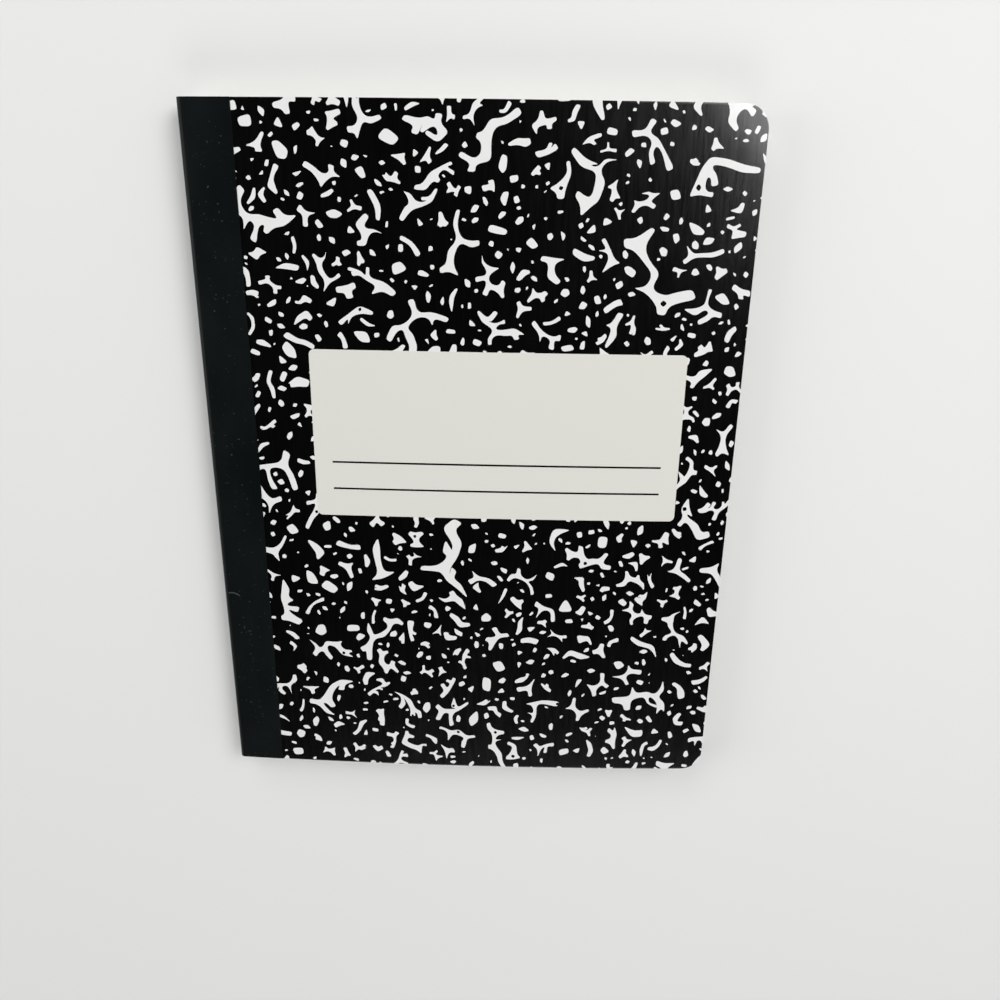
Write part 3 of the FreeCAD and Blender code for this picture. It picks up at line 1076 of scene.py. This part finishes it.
def make_film(
    name: str,
    shapes: Sequence[Grid],
    eyes: Sequence[Grid],
    plan: PlanOutline,
    hole: PlanOutline | None,
    surface: Height,
    rise: float,
    material: Material,
) -> Piece:
    """Thin closed films of flat shapes laid on a surface.

    The shapes, the plan and the hole are triangulated together, with lines across every few
    millimetres so that the films follow the surface. Triangles inside a shape and the plan
    but outside the hole are kept, and every side without a neighbour gets a wall.

    Args:
        name: the piece's name.
        shapes: outlines in mm.
        eyes: outlines of holes in the shapes, in mm.
        plan: the area that the films are cut to, in mm.
        hole: an area that stays free, in mm.
        surface: height of what the films lie on, in metres.
        rise: how far the films stand above it; negative where they hang below it.
        material: their material.

    Returns:
        The object.
    """
    corners: list[Vector] = []
    rings: list[list[int]] = []
    for outline in (*shapes, plan.loop(), *eyes, *([hole.loop(arc=6)] if hole else [])):
        rings.append(list(range(len(corners), len(corners) + len(outline))))
        corners.extend(Vector(point) for point in outline)
    sides = []
    low, high = plan.low - FILM_OVERHANG, plan.high + FILM_OVERHANG
    for x in np.arange(plan.left, plan.right, FILM_STRIP):
        sides.append((len(corners), len(corners) + 1))
        corners.extend((Vector((x, low)), Vector((x, high))))
    places, _, cut, _, _, origins = delaunay_2d_cdt(corners, sides, rings, 0, 1e-6, True)
    inside = len(shapes)
    kept = [
        triangle
        for triangle, owners in zip(cut, origins)
        if inside in owners and len(owners) > 1 and max(owners) == inside
    ]
    used, renumbered = np.unique(np.array(kept), return_inverse=True)
    triangles = renumbered.reshape(-1, 3)
    flat = np.array([places[k] for k in used]) * MM
    base = surface(flat[:, 0], flat[:, 1])
    heights = (base + max(rise, 0), base + min(rise, 0))
    points = np.concatenate([np.column_stack([flat, level]) for level in heights])
    count = len(flat)
    edges = np.concatenate([triangles[:, [0, 1]], triangles[:, [1, 2]], triangles[:, [2, 0]]])
    keys = edges[:, 0] * count + edges[:, 1]
    twins = edges[:, 1] * count + edges[:, 0]
    rim = edges[~np.isin(keys, twins)]
    walls = np.column_stack([rim[:, 1], rim[:, 0], rim[:, 0] + count, rim[:, 1] + count])
    faces = [triangles, triangles[:, ::-1] + count, walls]
    return place_mesh(name, points, faces, [0, 0, 0], [material])


@dataclass(frozen=True)
class PrintFinish:
    """Varnished print on cover board: satin, with fine streaks along the grain of the board.

    The black is rubbed through to pale board in specks along the cut edge. Pale patches at the
    corner by the head of the fore-edge are partly such wear and partly a painted highlight.
    """

    name: str
    colour: Triple
    # Pale colour of rubbed board, also used for the painted highlight at the corner
    worn: Triple = (0.78, 0.78, 0.76)
    roughness: float = 0.21
    streak_gloss: float = 0.16
    mottle_gloss: float = 0.06
    sheen: float = 0.42
    corner_start: float = 0.2095
    corner_length: float = 8.0 * MM
    relief: float = 0.014 * MM
    edge_wear: float = 0.9 * MM
    # How deep the pale corner patches reach: partly wear, partly painted highlight
    corner_wear_and_sheen: float = 7.0 * MM

    def material(self, plan: PlanOutline | None = None) -> Material:
        """Build the material.

        Args:
            plan: the cover's outline, whose edge is worn and whose corner gets a painted highlight,
                or None.

        Returns:
            The material.
        """
        tree = Tree(self.name)
        streaks = tree.noise((1000, 90, 1000), 4)
        mottle = tree.noise((40, 40, 40), 2)
        colour: Any = self.colour
        if plan is not None:
            x, y, _ = tree.axes()
            radius = plan.right_radius
            far_x = x - (plan.right - radius)
            far_y = abs(y) - (plan.high - radius)
            round_part = (far_x.at_least(0) ** 2 + far_y.at_least(0) ** 2) ** 0.5
            inward = radius - round_part - far_x.at_least(far_y).at_most(0)
            rubbed = tree.noise((1800, 1800, 1800), 3)
            # Pale patches at the corner: partly rubbed wear, partly a painted highlight of the
            # corner's sheen
            wear_and_sheen_patches = tree.noise((330, 330, 330), 2)
            corner = (x + y).ramp(self.corner_start, self.corner_start + self.corner_length)
            depth = (rubbed - 0.60) * self.edge_wear + corner * (wear_and_sheen_patches - 0.47) * self.corner_wear_and_sheen
            share = (depth - inward).ramp(-0.04 * MM, 0.06 * MM)
            colour = tree.mix(share, self.colour, self.worn)
        uneven = (streaks - 0.5) * self.streak_gloss + (mottle - 0.5) * self.mottle_gloss
        tree.bump(streaks, self.relief)
        rough = self.roughness + uneven
        return tree.finish(Base_Color=colour, Roughness=rough, Specular_IOR_Level=self.sheen)


@dataclass(frozen=True)
class TapeFinish:
    """Coated book-binding tape: dull green-black, finely grained, with lint specks."""

    name: str = "binding_tape"
    colour: Triple = (0.0016, 0.0030, 0.0032)
    faded: Triple = (0.0028, 0.0046, 0.0048)
    speck: Triple = (0.10, 0.11, 0.11)
    roughness: float = 0.42
    sheen: float = 0.12
    relief: float = 0.02 * MM
    scuff: Pair = (-91.2 * MM, -49.5 * MM)

    def material(self) -> Material:
        """Build the material."""
        tree = Tree(self.name)
        grain = tree.noise((2600, 2600, 2600), 2)
        weave = tree.noise((500, 2600, 500), 2)
        cloud = tree.noise((60, 25, 60), 3)
        lint = tree.noise((1500, 1500, 1500), 0).ramp(0.80, 0.84)
        base = tree.mix(cloud.ramp(0.35, 0.7), self.colour, self.faded)
        x, y, _ = tree.axes()
        across = x - self.scuff[0]
        bend = (across / (3 * MM)) ** 2 * 1.1 * MM
        off = abs(y - self.scuff[1] + across * 0.25 + bend + (grain - 0.5) * 0.5 * MM)
        scuff = off.ramp(0.30 * MM, 0.08 * MM) * abs(across).ramp(2.8 * MM, 1.8 * MM)
        worn = (lint * 0.5).at_least(scuff * weave.ramp(0.3, 0.55) * 0.8)
        colour = tree.mix(worn, base, self.speck)
        tree.bump(grain * 0.6 + weave * 0.4, self.relief)
        rough = self.roughness + (cloud - 0.5) * 0.2
        return tree.finish(Base_Color=colour, Roughness=rough, Specular_IOR_Level=self.sheen)


@dataclass(frozen=True)
class FibreFinish:
    """A fibrous material in two shades. The values given here are those of paper."""

    name: str
    colour: Triple = (0.80, 0.79, 0.76)
    shade: Triple = (0.66, 0.65, 0.61)
    scale: Triple = (900, 900, 900)
    detail: int = 4
    contrast: Pair = (0.3, 0.75)
    depth: float = 0.01 * MM
    roughness: float = 0.8

    def material(self) -> Material:
        """Build the material."""
        tree = Tree(self.name)
        fibres = tree.noise(self.scale, self.detail)
        colour = tree.mix(fibres.ramp(*self.contrast), self.shade, self.colour)
        tree.bump(fibres, self.depth)
        return tree.finish(Base_Color=colour, Roughness=self.roughness)


CUT_BOARD = FibreFinish(
    "cut_board",
    colour=(0.62, 0.60, 0.56),
    shade=(0.36, 0.35, 0.33),
    scale=(120, 120, 9000),
    detail=3,
    contrast=(0.3, 0.7),
    depth=0.03 * MM,
    roughness=0.85,
)
THREAD = FibreFinish(
    "sewing_thread",
    colour=(0.80, 0.79, 0.75),
    shade=(0.60, 0.5925, 0.5625),
    scale=(3000, 900, 3000),
    detail=2,
    contrast=(0.3, 0.7),
    depth=0.05 * MM,
    roughness=0.9,
)
LINING = FibreFinish("endpaper")
PAGE_EDGES = FibreFinish(
    "page_edges", scale=(25, 25, 6000), contrast=(0.25, 0.6), depth=0.02 * MM
)


@dataclass(frozen=True)
class RuledFinish:
    """A writing page: pale blue lines across it and one red margin line by the spine."""

    head_y: float
    spine_x: float
    name: str = "ruled_page"
    paper: Triple = (0.80, 0.79, 0.76)
    blue: Triple = (0.30, 0.44, 0.62)
    red: Triple = (0.70, 0.28, 0.30)
    pitch: float = 7.1 * MM
    head_margin: float = 27.0 * MM
    side_margin: float = 32.0 * MM
    stroke: float = 0.22 * MM

    def material(self) -> Material:
        """Build the material."""
        tree = Tree(self.name)
        x, y, _ = tree.axes()
        fibres = tree.noise((800, 800, 800), 3)
        paper = tree.mix(fibres.ramp(0.2, 0.8), tuple(0.95 * c for c in self.paper), self.paper)
        down = (self.head_y - self.head_margin) - y
        phase = (down / self.pitch + 0.5).math("FRACT")
        outer, inner = 0.6 * self.stroke, 0.4 * self.stroke
        ruled = abs(phase - 0.5).ramp(outer / self.pitch, inner / self.pitch)
        below = down.ramp(-0.3 * self.pitch, -0.2 * self.pitch)
        margin = abs(x - (self.spine_x + self.side_margin)).ramp(outer, inner)
        lined = tree.mix(ruled * below, paper, self.blue)
        return tree.finish(Base_Color=tree.mix(margin, lined, self.red), Roughness=0.82)


@dataclass
class Cover:
    """One cover: its board, the marbling printed on it and the lining inside."""

    layout: Layout
    side: Face
    flecks: Sequence[Grid]
    eyes: Sequence[Grid]
    pattern: MarbledPrint
    ink: Material
    white: Material
    cut: Material
    paper: Material
    label: PlanOutline | None = None
    board_rounding: float = 0.12 * MM
    lining_rounding: float = 0.03 * MM
    film_rise: float = 0.02 * MM
    film_inset: float = 0.02 * MM
    under_tape: float = 0.4 * MM

    def level(self, depth: float) -> Height:
        """Height of the cover at a depth under the tape's outer face, or above it at the back."""
        if self.side is Face.FRONT:
            return self.layout.crown(depth)
        return self.layout.flat(depth)

    def make_sheet(
        self,
        name: str,
        depth: float,
        inner_depth: float,
        rounding: float,
        outside: Material,
        inside: Material,
    ) -> Piece:
        """One sheet of the cover, in the outline of the board.

        Args:
            name: the piece's name.
            depth: of its outer face under the tape's outer face.
            inner_depth: of its inner face.
            rounding: radius of its edges.
            outside: material of its outer face.
            inside: material of its edges and inner face.

        Returns:
            The object.
        """
        plan, outer, inner = self.layout.cover_plan(), self.level(depth), self.level(inner_depth)
        if self.side is Face.FRONT:
            return make_plate(name, plan, outer, inner, rounding, [outside, inside, inside])
        return make_plate(name, plan, inner, outer, rounding, [inside, inside, outside])

    def make_marbling(self, name: str) -> Piece:
        """The white flecks, cut off at the tape, at the cover's edge and at the label.

        The back has the same print turned half round.

        Args:
            name: the piece's name.

        Returns:
            The object.
        """
        lay = self.layout
        wide = replace(lay.cover_plan(), left=lay.tape_edge_x - self.under_tape)
        printed = wide.inset(self.film_inset).in_mm()
        hole = self.label.in_mm() if self.label else None
        turn = 1 if self.side is Face.FRONT else -1
        shapes, eyes = (
            [
                self.pattern.soften(corners)
                for corners in self.pattern.over([turn * corners for corners in stock], printed)
            ]
            for stock in (self.flecks, self.eyes)
        )
        base, rise = self.level(lay.tape), turn * self.film_rise
        return make_film(name, shapes, eyes, printed, hole, base, rise, self.white)

    def build(self) -> list[Piece]:
        """Build the board, black outside, the lining and the flecks.

        Returns:
            The pieces.
        """
        lay, side = self.layout, self.side.value
        body = f"{side}_cover"
        inside = lay.tape + lay.board
        lined = inside + lay.lining
        board = self.make_sheet(
            f"{side}_board", lay.tape, inside, self.board_rounding, self.ink, self.cut
        )
        lining = self.make_sheet(
            f"{side}_lining", inside, lined, self.lining_rounding, self.paper, self.paper
        )
        flecks = self.make_marbling(f"{side}_marbling")
        return [
            enlist(board, body, "black_print", f"{side}_cover"),
            enlist(lining, body, "endpaper", f"{side}_endpaper"),
            enlist(flecks, body, "white_print", f"{side}_flecks"),
        ]


@dataclass
class NameLabel:
    """The white label printed on the front cover, with two lines to write on."""

    layout: Layout
    field: Material
    ink: Material
    width: float = 132.0 * MM
    height: float = 60.8 * MM
    left: float = 38.9 * MM
    bottom: float = 107.7 * MM
    radius: float = 2.0 * MM
    rule_left: float = 6.5 * MM
    rule_length: float = 119.1 * MM
    rule_width: float = 0.68 * MM
    rule_heights: Pair = (10.4 * MM, 20.4 * MM)
    rule_radius: float = 0.1 * MM
    rise: float = 0.02 * MM
    rounding: float = 0.008 * MM
    rule_rounding: float = 0.005 * MM

    def plan(self) -> PlanOutline:
        """The label's outline on the cover."""
        left = self.layout.spine_x + self.left
        low = -self.layout.head_y + self.bottom
        right, high = left + self.width, low + self.height
        return PlanOutline(left, right, low, high, self.radius, self.radius)

    def build(self) -> list[Piece]:
        """Build the white field and the lines, each one film higher than what it lies on.

        Returns:
            The pieces.
        """
        base, top, rule_top = (
            self.layout.crown(self.layout.tape - films * self.rise) for films in range(3)
        )
        plan = self.plan()
        label = make_plate(
            "name_label", plan, top, base, self.rounding, [self.field] * 3, columns=50, rows=20
        )
        made = [enlist(label, "front_cover", "label_white", "front_label")]
        left, radius = plan.left + self.rule_left, self.rule_radius
        for number, height in enumerate(self.rule_heights, 1):
            name = f"writing_line_{number}"
            low = plan.low + height - self.rule_width / 2
            high = low + self.rule_width
            line = PlanOutline(left, left + self.rule_length, low, high, radius, radius)
            rule = make_plate(
                name, line, rule_top, top, self.rule_rounding, [self.ink] * 3, columns=60, rows=5
            )
            made.append(enlist(rule, "front_cover", "rule_ink", "label_rules"))
        return made


@dataclass
class BindingTape:
    """The tape round the spine, in two halves that meet on the middle of the spine."""

    layout: Layout
    finish: Material
    edge_wander: float = 0.12 * MM
    waves: tuple[Triple, ...] = ((0.6, 61, 1.3), (0.3, 173, 0.4), (0.2, 420, 2.2))
    glue: float = 0.01 * MM
    rows: int = 120

    def path(self, side: Face, depth: float) -> Grid:
        """Section of one face of the tape, from the middle of the spine to the tape's edge.

        It runs up the spine, a quarter round the shoulder and then along the cover.

        Args:
            side: the cover that this half laps over.
            depth: distance inside the tape's outer face.

        Returns:
            Points as (x, z).
        """
        lay = self.layout
        radius = lay.shoulder_radius - depth
        middle_z = (lay.front_shoulder_z + lay.shoulder_radius) / 2
        front = side is Face.FRONT
        centre_z = lay.front_shoulder_z if front else lay.shoulder_radius
        rise = lay.front_shoulder_z - lay.crown_axis_z
        tangent = math.atan2(rise, lay.shoulder_x) if front else math.pi / 2
        turn = np.linspace(math.pi, tangent, 25)
        up = 1 if front else -1
        spine_z = np.linspace(middle_z, centre_z, 7)[:-1]
        spine = np.stack([np.full(len(spine_z), lay.spine_x + depth), spine_z], -1)
        shoulder = np.stack(
            [lay.shoulder_x + radius * np.cos(turn), centre_z + up * radius * np.sin(turn)], -1
        )
        x = np.linspace(shoulder[-1, 0], lay.tape_edge_x, 16)[1:]
        level = lay.crown(depth) if front else lay.flat(depth)
        lap = np.stack([x, level(x, np.zeros(len(x)))], -1)
        return np.concatenate([spine, shoulder, lap])

    def build_half(self, side: Face) -> Piece:
        """One half of the tape as a closed strip, bending from the spine to its cover.

        Its cut edge wanders by a sum of waves, each a share times the sine of y times a rate
        plus a phase.

        Args:
            side: the cover that it laps over.

        Returns:
            The object.
        """
        lay = self.layout
        outer = self.path(side, 0.0)
        inner = self.path(side, lay.tape - self.glue)
        ring = np.concatenate([outer, inner[::-1]])
        y = np.linspace(-lay.head_y, lay.head_y, self.rows)
        waves = sum(share * np.sin(y * rate + phase) for share, rate, phase in self.waves)
        wander = self.edge_wander * waves
        along = np.clip((ring[:, 0] - lay.shoulder_x) / (lay.tape_edge_x - lay.shoulder_x), 0, 1)
        x = ring[None, :, 0] + wander[:, None] * along[None, :] ** 6
        z = np.broadcast_to(ring[:, 1], x.shape)
        points = np.stack([x, np.broadcast_to(y[:, None], x.shape), z], -1).reshape(-1, 3)
        count = len(ring)
        walls = lattice(self.rows, count, wrap=True)
        strip = np.arange(len(outer) - 1)
        cap = np.stack([strip, strip + 1, count - 2 - strip, count - 1 - strip], -1)
        far = cap[:, ::-1] + count * (self.rows - 1)
        if side is Face.FRONT:
            walls, cap, far = walls[:, ::-1], cap[:, ::-1], far[:, ::-1]
        tape = place_mesh(f"{side.value}_tape", points, [walls, cap, far], [0, 0, 0], [self.finish])
        weld(tape)
        return tape

    def build(self) -> list[Piece]:
        """Build both halves in place and hide the tape's imported pieces.

        Returns:
            The pieces, the front half first.
        """
        made = []
        for side in Face:
            tape = self.build_half(side)
            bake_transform(tape)
            made.append(tape)
        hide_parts("front_tape_flap", "spine_tape")
        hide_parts("back_tape_flap")
        return made


@dataclass
class PageBlock:
    """The sewn pages: sheets folded round each other, trimmed round with the covers."""

    layout: Layout
    edges: Material
    page: Material
    thread: Material
    sheets: int = 50
    sheet_share: float = 0.72
    clearance: float = 0.3 * MM
    groove: float = 0.05 * MM
    ragged: float = 0.07 * MM
    drift: float = 0.16 * MM
    drift_window: int = 9
    lean_share: float = 0.6
    inset_limit: float = 0.4 * MM
    inset_ease: float = 0.1
    seed: int = 11
    fold_depth: float = 4.5 * MM
    swell_length: float = 3.2 * MM
    flat_columns: int = 26
    corner_columns: int = 12
    round_columns: int = 12
    page_rows: int = 60

    def outer_path(self) -> Grid:
        """Section of the outermost sheet, from the lower fore-edge round to the upper one.

        The flat runs are sampled evenly, and near the fore-edge by the cosine that the
        rounded corners need. The fold swells towards the tape by a smooth step of x.

        Returns:
            Points as (x, z).
        """
        lay = self.layout
        low, high = lay.page_low, lay.page_high
        radius = lay.shoulder_radius - lay.tape
        shoulder_x = low[0] + radius
        corner = lay.corner_radius - (lay.fore_edge_x - high[0])
        turn = np.linspace(0, math.pi / 2, self.corner_columns)
        bend = high[0] - corner + corner * np.cos(turn)
        flat = np.linspace(high[0] - corner, shoulder_x + self.swell_length, self.flat_columns)
        swell = np.linspace(shoulder_x + self.swell_length, shoulder_x, 6)
        x = np.concatenate([bend, flat[1:], swell[1:]])
        share = np.clip((shoulder_x + self.swell_length - x) / self.swell_length, 0, 1)
        ease = share**2 * (3 - 2 * share)
        depth = lay.tape + lay.board + lay.lining
        lower_z = depth + (low[2] - depth) * ease
        crowned = lay.crown(depth + self.clearance)(x, np.full(len(x), -lay.head_y))
        front_z = lay.front_shoulder_z - (low[2] - lay.tape)
        upper_z = crowned + (front_z + radius - crowned) * ease
        quarter = np.linspace(0, math.pi / 2, self.round_columns)[1:]
        round_x = shoulder_x - radius * np.sin(quarter)
        lower_round = np.stack([round_x, low[2] + radius * (1 - np.cos(quarter))], -1)
        upper_round = np.stack([round_x, front_z + radius * np.cos(quarter)], -1)
        middle = np.linspace(lower_round[-1, 1], upper_round[-1, 1], 8)[1:-1]
        back = np.stack([np.full(len(middle), low[0]), middle], -1)
        lower = np.stack([x, lower_z], -1)
        upper = np.stack([x, upper_z], -1)
        return np.concatenate([lower, lower_round, back, upper_round[::-1], upper[::-1]])

    def trimmed(self, path: Grid) -> tuple[Grid, Grid, Grid]:
        """Places of the face trimmed at the head, as edges of sheets by points of the path.

        A point lies between the outermost sheet's path and the fold in the middle: outer
        times one minus the depth share plus inner times the share. Each sheet's edge stands
        in by a random amount, and between two sheets is a groove.

        Args:
            path: section of the outermost sheet as (x, z).

        Returns:
            The x, y and z of the points.
        """
        lay = self.layout
        rng = np.random.default_rng(self.seed)
        high_x, half_y = lay.page_high[:2]
        fold_x = lay.page_low[0] + self.fold_depth
        middle_z = (path[:, 1] + path[::-1, 1]) / 2
        share = np.repeat(np.arange(self.sheets), 2) / self.sheets
        share[1::2] += self.sheet_share / self.sheets
        share = np.append(share, 1.0)[:, None]
        section_x = (1 - share) * path[:, 0] + share * np.maximum(path[:, 0], fold_x)
        section_z = (1 - share) * path[:, 1] + share * middle_z
        stray = rng.normal(0, self.ragged, (2, self.sheets))
        window = np.ones(self.drift_window) / self.drift_window
        steady = rng.normal(0, self.drift, self.sheets + self.drift_window - 1)
        inset = np.repeat(np.abs(stray[0] + np.convolve(steady, window, "valid")), 2)
        inset[1::2] += self.groove
        inset = np.append(inset, inset[-1])[:, None]
        lean = np.append(np.repeat(stray[1] * self.lean_share, 2), 0)[:, None]
        inset = np.clip(inset + lean * np.linspace(-1, 1, len(path)), 0, self.inset_limit)
        inset[0] = 0
        corner = lay.corner_radius - (lay.fore_edge_x - high_x)
        eased = inset * np.clip((section_x - fold_x) / self.inset_ease, 0, 1)
        x = np.minimum(section_x, high_x - eased)
        past = np.clip((x - (high_x - inset - corner)) / corner, 0, 1)
        y = half_y - inset - corner + corner * np.sqrt(1 - past**2)
        return x, y, section_z

    def build(self) -> list[Piece]:
        """Build the block and dress the thread.

        The block is its head and tail faces, the skin of the outermost sheet between them,
        and two fore-edge faces, which take their first row of points from the skin.

        Returns:
            The pieces.
        """
        x, y, z = self.trimmed(self.outer_path())
        levels, count = x.shape
        block = levels * count
        steps = np.linspace(-1, 1, self.page_rows)[1:-1, None]
        points = [np.stack([x, side * y, z], -1).reshape(-1, 3) for side in (1, -1)]
        spread = (len(steps), count)
        skin = np.stack([
            np.broadcast_to(x[0], spread), steps * y[0], np.broadcast_to(z[0], spread)
        ], -1)
        points.append(skin.reshape(-1, 3))
        start = 2 * block
        offset = start + math.prod(spread)
        skin_rows = np.concatenate([
            block + np.arange(count)[None, :],
            np.arange(start, offset).reshape(spread),
            np.arange(count)[None, :],
        ])
        fore = []
        spread = (levels - 1, len(steps))
        for column in (0, count - 1):
            edge_x, edge_y, edge_z = (part[1:, column, None] for part in (x, y, z))
            sheet = np.stack([
                np.broadcast_to(edge_x, spread),
                edge_y * steps[:, 0],
                np.broadcast_to(edge_z, spread),
            ], -1)
            points.append(sheet.reshape(-1, 3))
            numbers = offset + np.arange(math.prod(spread)).reshape(spread)
            numbers = np.concatenate([skin_rows[1:-1, column][None, :], numbers])
            ends = column + count * np.arange(levels)
            fore.append(np.column_stack([block + ends, numbers, ends]))
            offset += math.prod(spread)
        faces = [
            lattice(levels, count),
            lattice(levels, count, block)[:, ::-1],
            quads(fore[0]),
            quads(fore[1])[:, ::-1],
            quads(skin_rows),
        ]
        slots, finishes = [0, 0, 0, 0, 1], [self.edges, self.page]
        pages = place_mesh(
            "pages", np.concatenate(points), faces, slots, finishes, smooth_angle=50.0
        )
        weld(pages)
        enlist(pages, "page_block", "page_paper", "page_block")
        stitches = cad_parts["binding_thread"]
        stitches.data.materials.clear()
        stitches.data.materials.append(self.thread)
        return [pages, stitches]


@dataclass
class Studio:
    """The pale floor, the soft lights and the camera of the photograph.

    Each lamp has its middle and its width and height in metres, and its power in watts. To
    the camera, the floor fades into the backdrop between the near and the far distance.
    """

    lamps: ClassVar[dict[str, tuple[Triple, Pair, float]]] = {
        "window": ((0.74, 0.58, 1.05), (0.7, 0.7), 12.5),
        "left_fill": ((-1.35, 0.10, 0.70), (0.9, 0.9), 7.0),
        "head_fill": ((-0.45, 1.40, 0.95), (1.2, 0.8), 9.0),
        "tail_fill": ((0.1, -1.50, 0.95), (1.2, 0.7), 8.0),
    }
    layout: Layout
    focal_pixels: float = 775.1
    frame_pixels: float = 1000.0
    sensor: float = 36.0
    place: Triple = (16.587 * MM, 76.962 * MM, 273.158 * MM)
    right: Triple = (0.99959, 0.01492, -0.02424)
    up: Triple = (-0.02153, 0.95332, -0.30120)
    floor_half: float = 6.0
    floor_colour: Triple = (0.80, 0.80, 0.785)
    air_colour: Triple = (0.98, 0.99, 1.0)
    band_light: float = 0.55
    band: Pair = (0.75, 0.35)
    backdrop: float = 0.78
    near: float = 0.7
    far: float = 1.8

    def camera(self) -> None:
        """Put the camera where the photograph was taken from, above the front cover's edges."""
        data = bpy.data.cameras.new("camera")
        data.sensor_width = self.sensor
        data.lens = self.sensor * self.focal_pixels / self.frame_pixels
        data.clip_start = 0.01
        made = bpy.data.objects.new("camera", data)
        bpy.context.scene.collection.objects.link(made)
        right = Vector(self.right).normalized()
        up = (Vector(self.up) - right * right.dot(Vector(self.up))).normalized()
        turn = Matrix((right, up, right.cross(up))).transposed().to_4x4()
        spot = Vector(self.place) + Vector((0, 0, self.layout.front_edge_z))
        made.matrix_world = Matrix.Translation(spot) @ turn
        bpy.context.scene.camera = made

    def lamp(self, name: str, place: Triple, size: Pair, power: float) -> None:
        """Hang one soft lamp that faces the notebook.

        Args:
            name: the lamp's name.
            place: its middle in metres.
            size: its width and height in metres.
            power: its power in watts.
        """
        data = bpy.data.lights.new(name, "AREA")
        data.shape = "RECTANGLE"
        data.size, data.size_y = size
        data.energy = power
        made = bpy.data.objects.new(name, data)
        made.location = place
        made.rotation_euler = (-Vector(place)).to_track_quat("-Z", "Y").to_euler()
        bpy.context.scene.collection.objects.link(made)

    def floor(self) -> None:
        """Lay a large pale floor under the notebook."""
        mesh = bpy.data.meshes.new("floor")
        half = self.floor_half
        corners = [(-half, -half, 0), (half, -half, 0), (half, half, 0), (-half, half, 0)]
        mesh.from_pydata(corners, [], [(0, 1, 2, 3)])
        tree = Tree("floor_paint")
        cloud = tree.noise((3, 3, 3), 2)
        colour = tree.mix(cloud, tuple(0.99 * c for c in self.floor_colour), self.floor_colour)
        paint = tree.finish(Base_Color=colour, Roughness=0.9)
        x, y, _ = tree.axes()
        seen = Value(tree, tree.node("ShaderNodeLightPath").outputs["Is Camera Ray"])
        share = ((x**2 + y**2) ** 0.5).ramp(self.near, self.far) * seen
        glow = tree.node("ShaderNodeEmission", None, {0: self.air_colour, 1: self.backdrop})
        shaders = {0: share, 1: tree.shader.outputs[0], 2: glow.outputs[0]}
        blend = tree.node("ShaderNodeMixShader", None, shaders)
        tree.links.new(blend.outputs[0], tree.nodes["Material Output"].inputs["Surface"])
        mesh.materials.append(paint)
        made = bpy.data.objects.new("floor", mesh)
        bpy.context.scene.collection.objects.link(made)

    def surroundings(self) -> None:
        """Soft light from a low band all round, which the camera sees as a pale backdrop.

        The band fades out with the sine of the height above the horizon, so that nothing
        shines down into the dark covers.
        """
        world = bpy.data.worlds.new("studio")
        world.use_nodes = True
        nodes = world.node_tree.nodes
        background = nodes["Background"]
        background.inputs[0].default_value = (*self.air_colour, 1)
        path = nodes.new("ShaderNodeLightPath")
        strength = nodes.new("ShaderNodeMapRange")
        direction = nodes.new("ShaderNodeTexCoord")
        split = nodes.new("ShaderNodeSeparateXYZ")
        low = nodes.new("ShaderNodeMapRange")
        low.inputs["From Min"].default_value, low.inputs["From Max"].default_value = self.band
        low.inputs["To Max"].default_value = self.band_light
        strength.inputs["To Max"].default_value = self.backdrop
        for source, target in (
            (direction.outputs["Generated"], split.inputs[0]),
            (split.outputs["Z"], low.inputs["Value"]),
            (low.outputs[0], strength.inputs["To Min"]),
            (path.outputs["Is Camera Ray"], strength.inputs["Value"]),
            (strength.outputs[0], background.inputs[1]),
        ):
            world.node_tree.links.new(source, target)
        bpy.context.scene.world = world

    def build(self) -> None:
        """Set up the whole studio."""
        bpy.context.scene.view_settings.view_transform = "Standard"
        self.surroundings()
        self.floor()
        for name, (place, size, power) in self.lamps.items():
            self.lamp(name, place, size, power)
        self.camera()


def main() -> None:
    """Build the notebook piece by piece, then the studio."""
    layout = Layout.from_frame()
    pattern = MarbledPrint()
    flecks, eyes = pattern.scatter()
    area = sum(abs(pattern.shoelace(corners)) for corners in flecks)
    share = area / (pattern.repeat_width * pattern.repeat_height)
    log.info("pattern: %d flecks and %d eyes cover %.3f", len(flecks), len(eyes), share)
    black = PrintFinish("black_print", (0.0013, 0.0014, 0.0014)).material(layout.cover_plan())
    white = PrintFinish("white_print", (0.80, 0.80, 0.785)).material()
    label_white = PrintFinish("label_white", (0.73, 0.72, 0.665)).material()
    rule_ink = PrintFinish("rule_ink", (0.003, 0.003, 0.003)).material()
    cut, lining = CUT_BOARD.material(), LINING.material()
    edges, thread = PAGE_EDGES.material(), THREAD.material()
    ruled = RuledFinish(layout.head_y, layout.spine_x).material()
    label = NameLabel(layout, label_white, rule_ink)
    covers = [
        Cover(layout, side, flecks, eyes, pattern, black, white, cut, lining, hole)
        for side, hole in ((Face.FRONT, label.plan()), (Face.BACK, None))
    ]
    tape = BindingTape(layout, TapeFinish().material())
    pages = PageBlock(layout, edges, ruled, thread)
    for part in (*covers, label, tape, pages):
        for piece in part.build():
            log.info("%s: %d faces", piece.name, len(piece.data.polygons))
    Studio(layout).build()


if __name__ == "__main__":
    main()
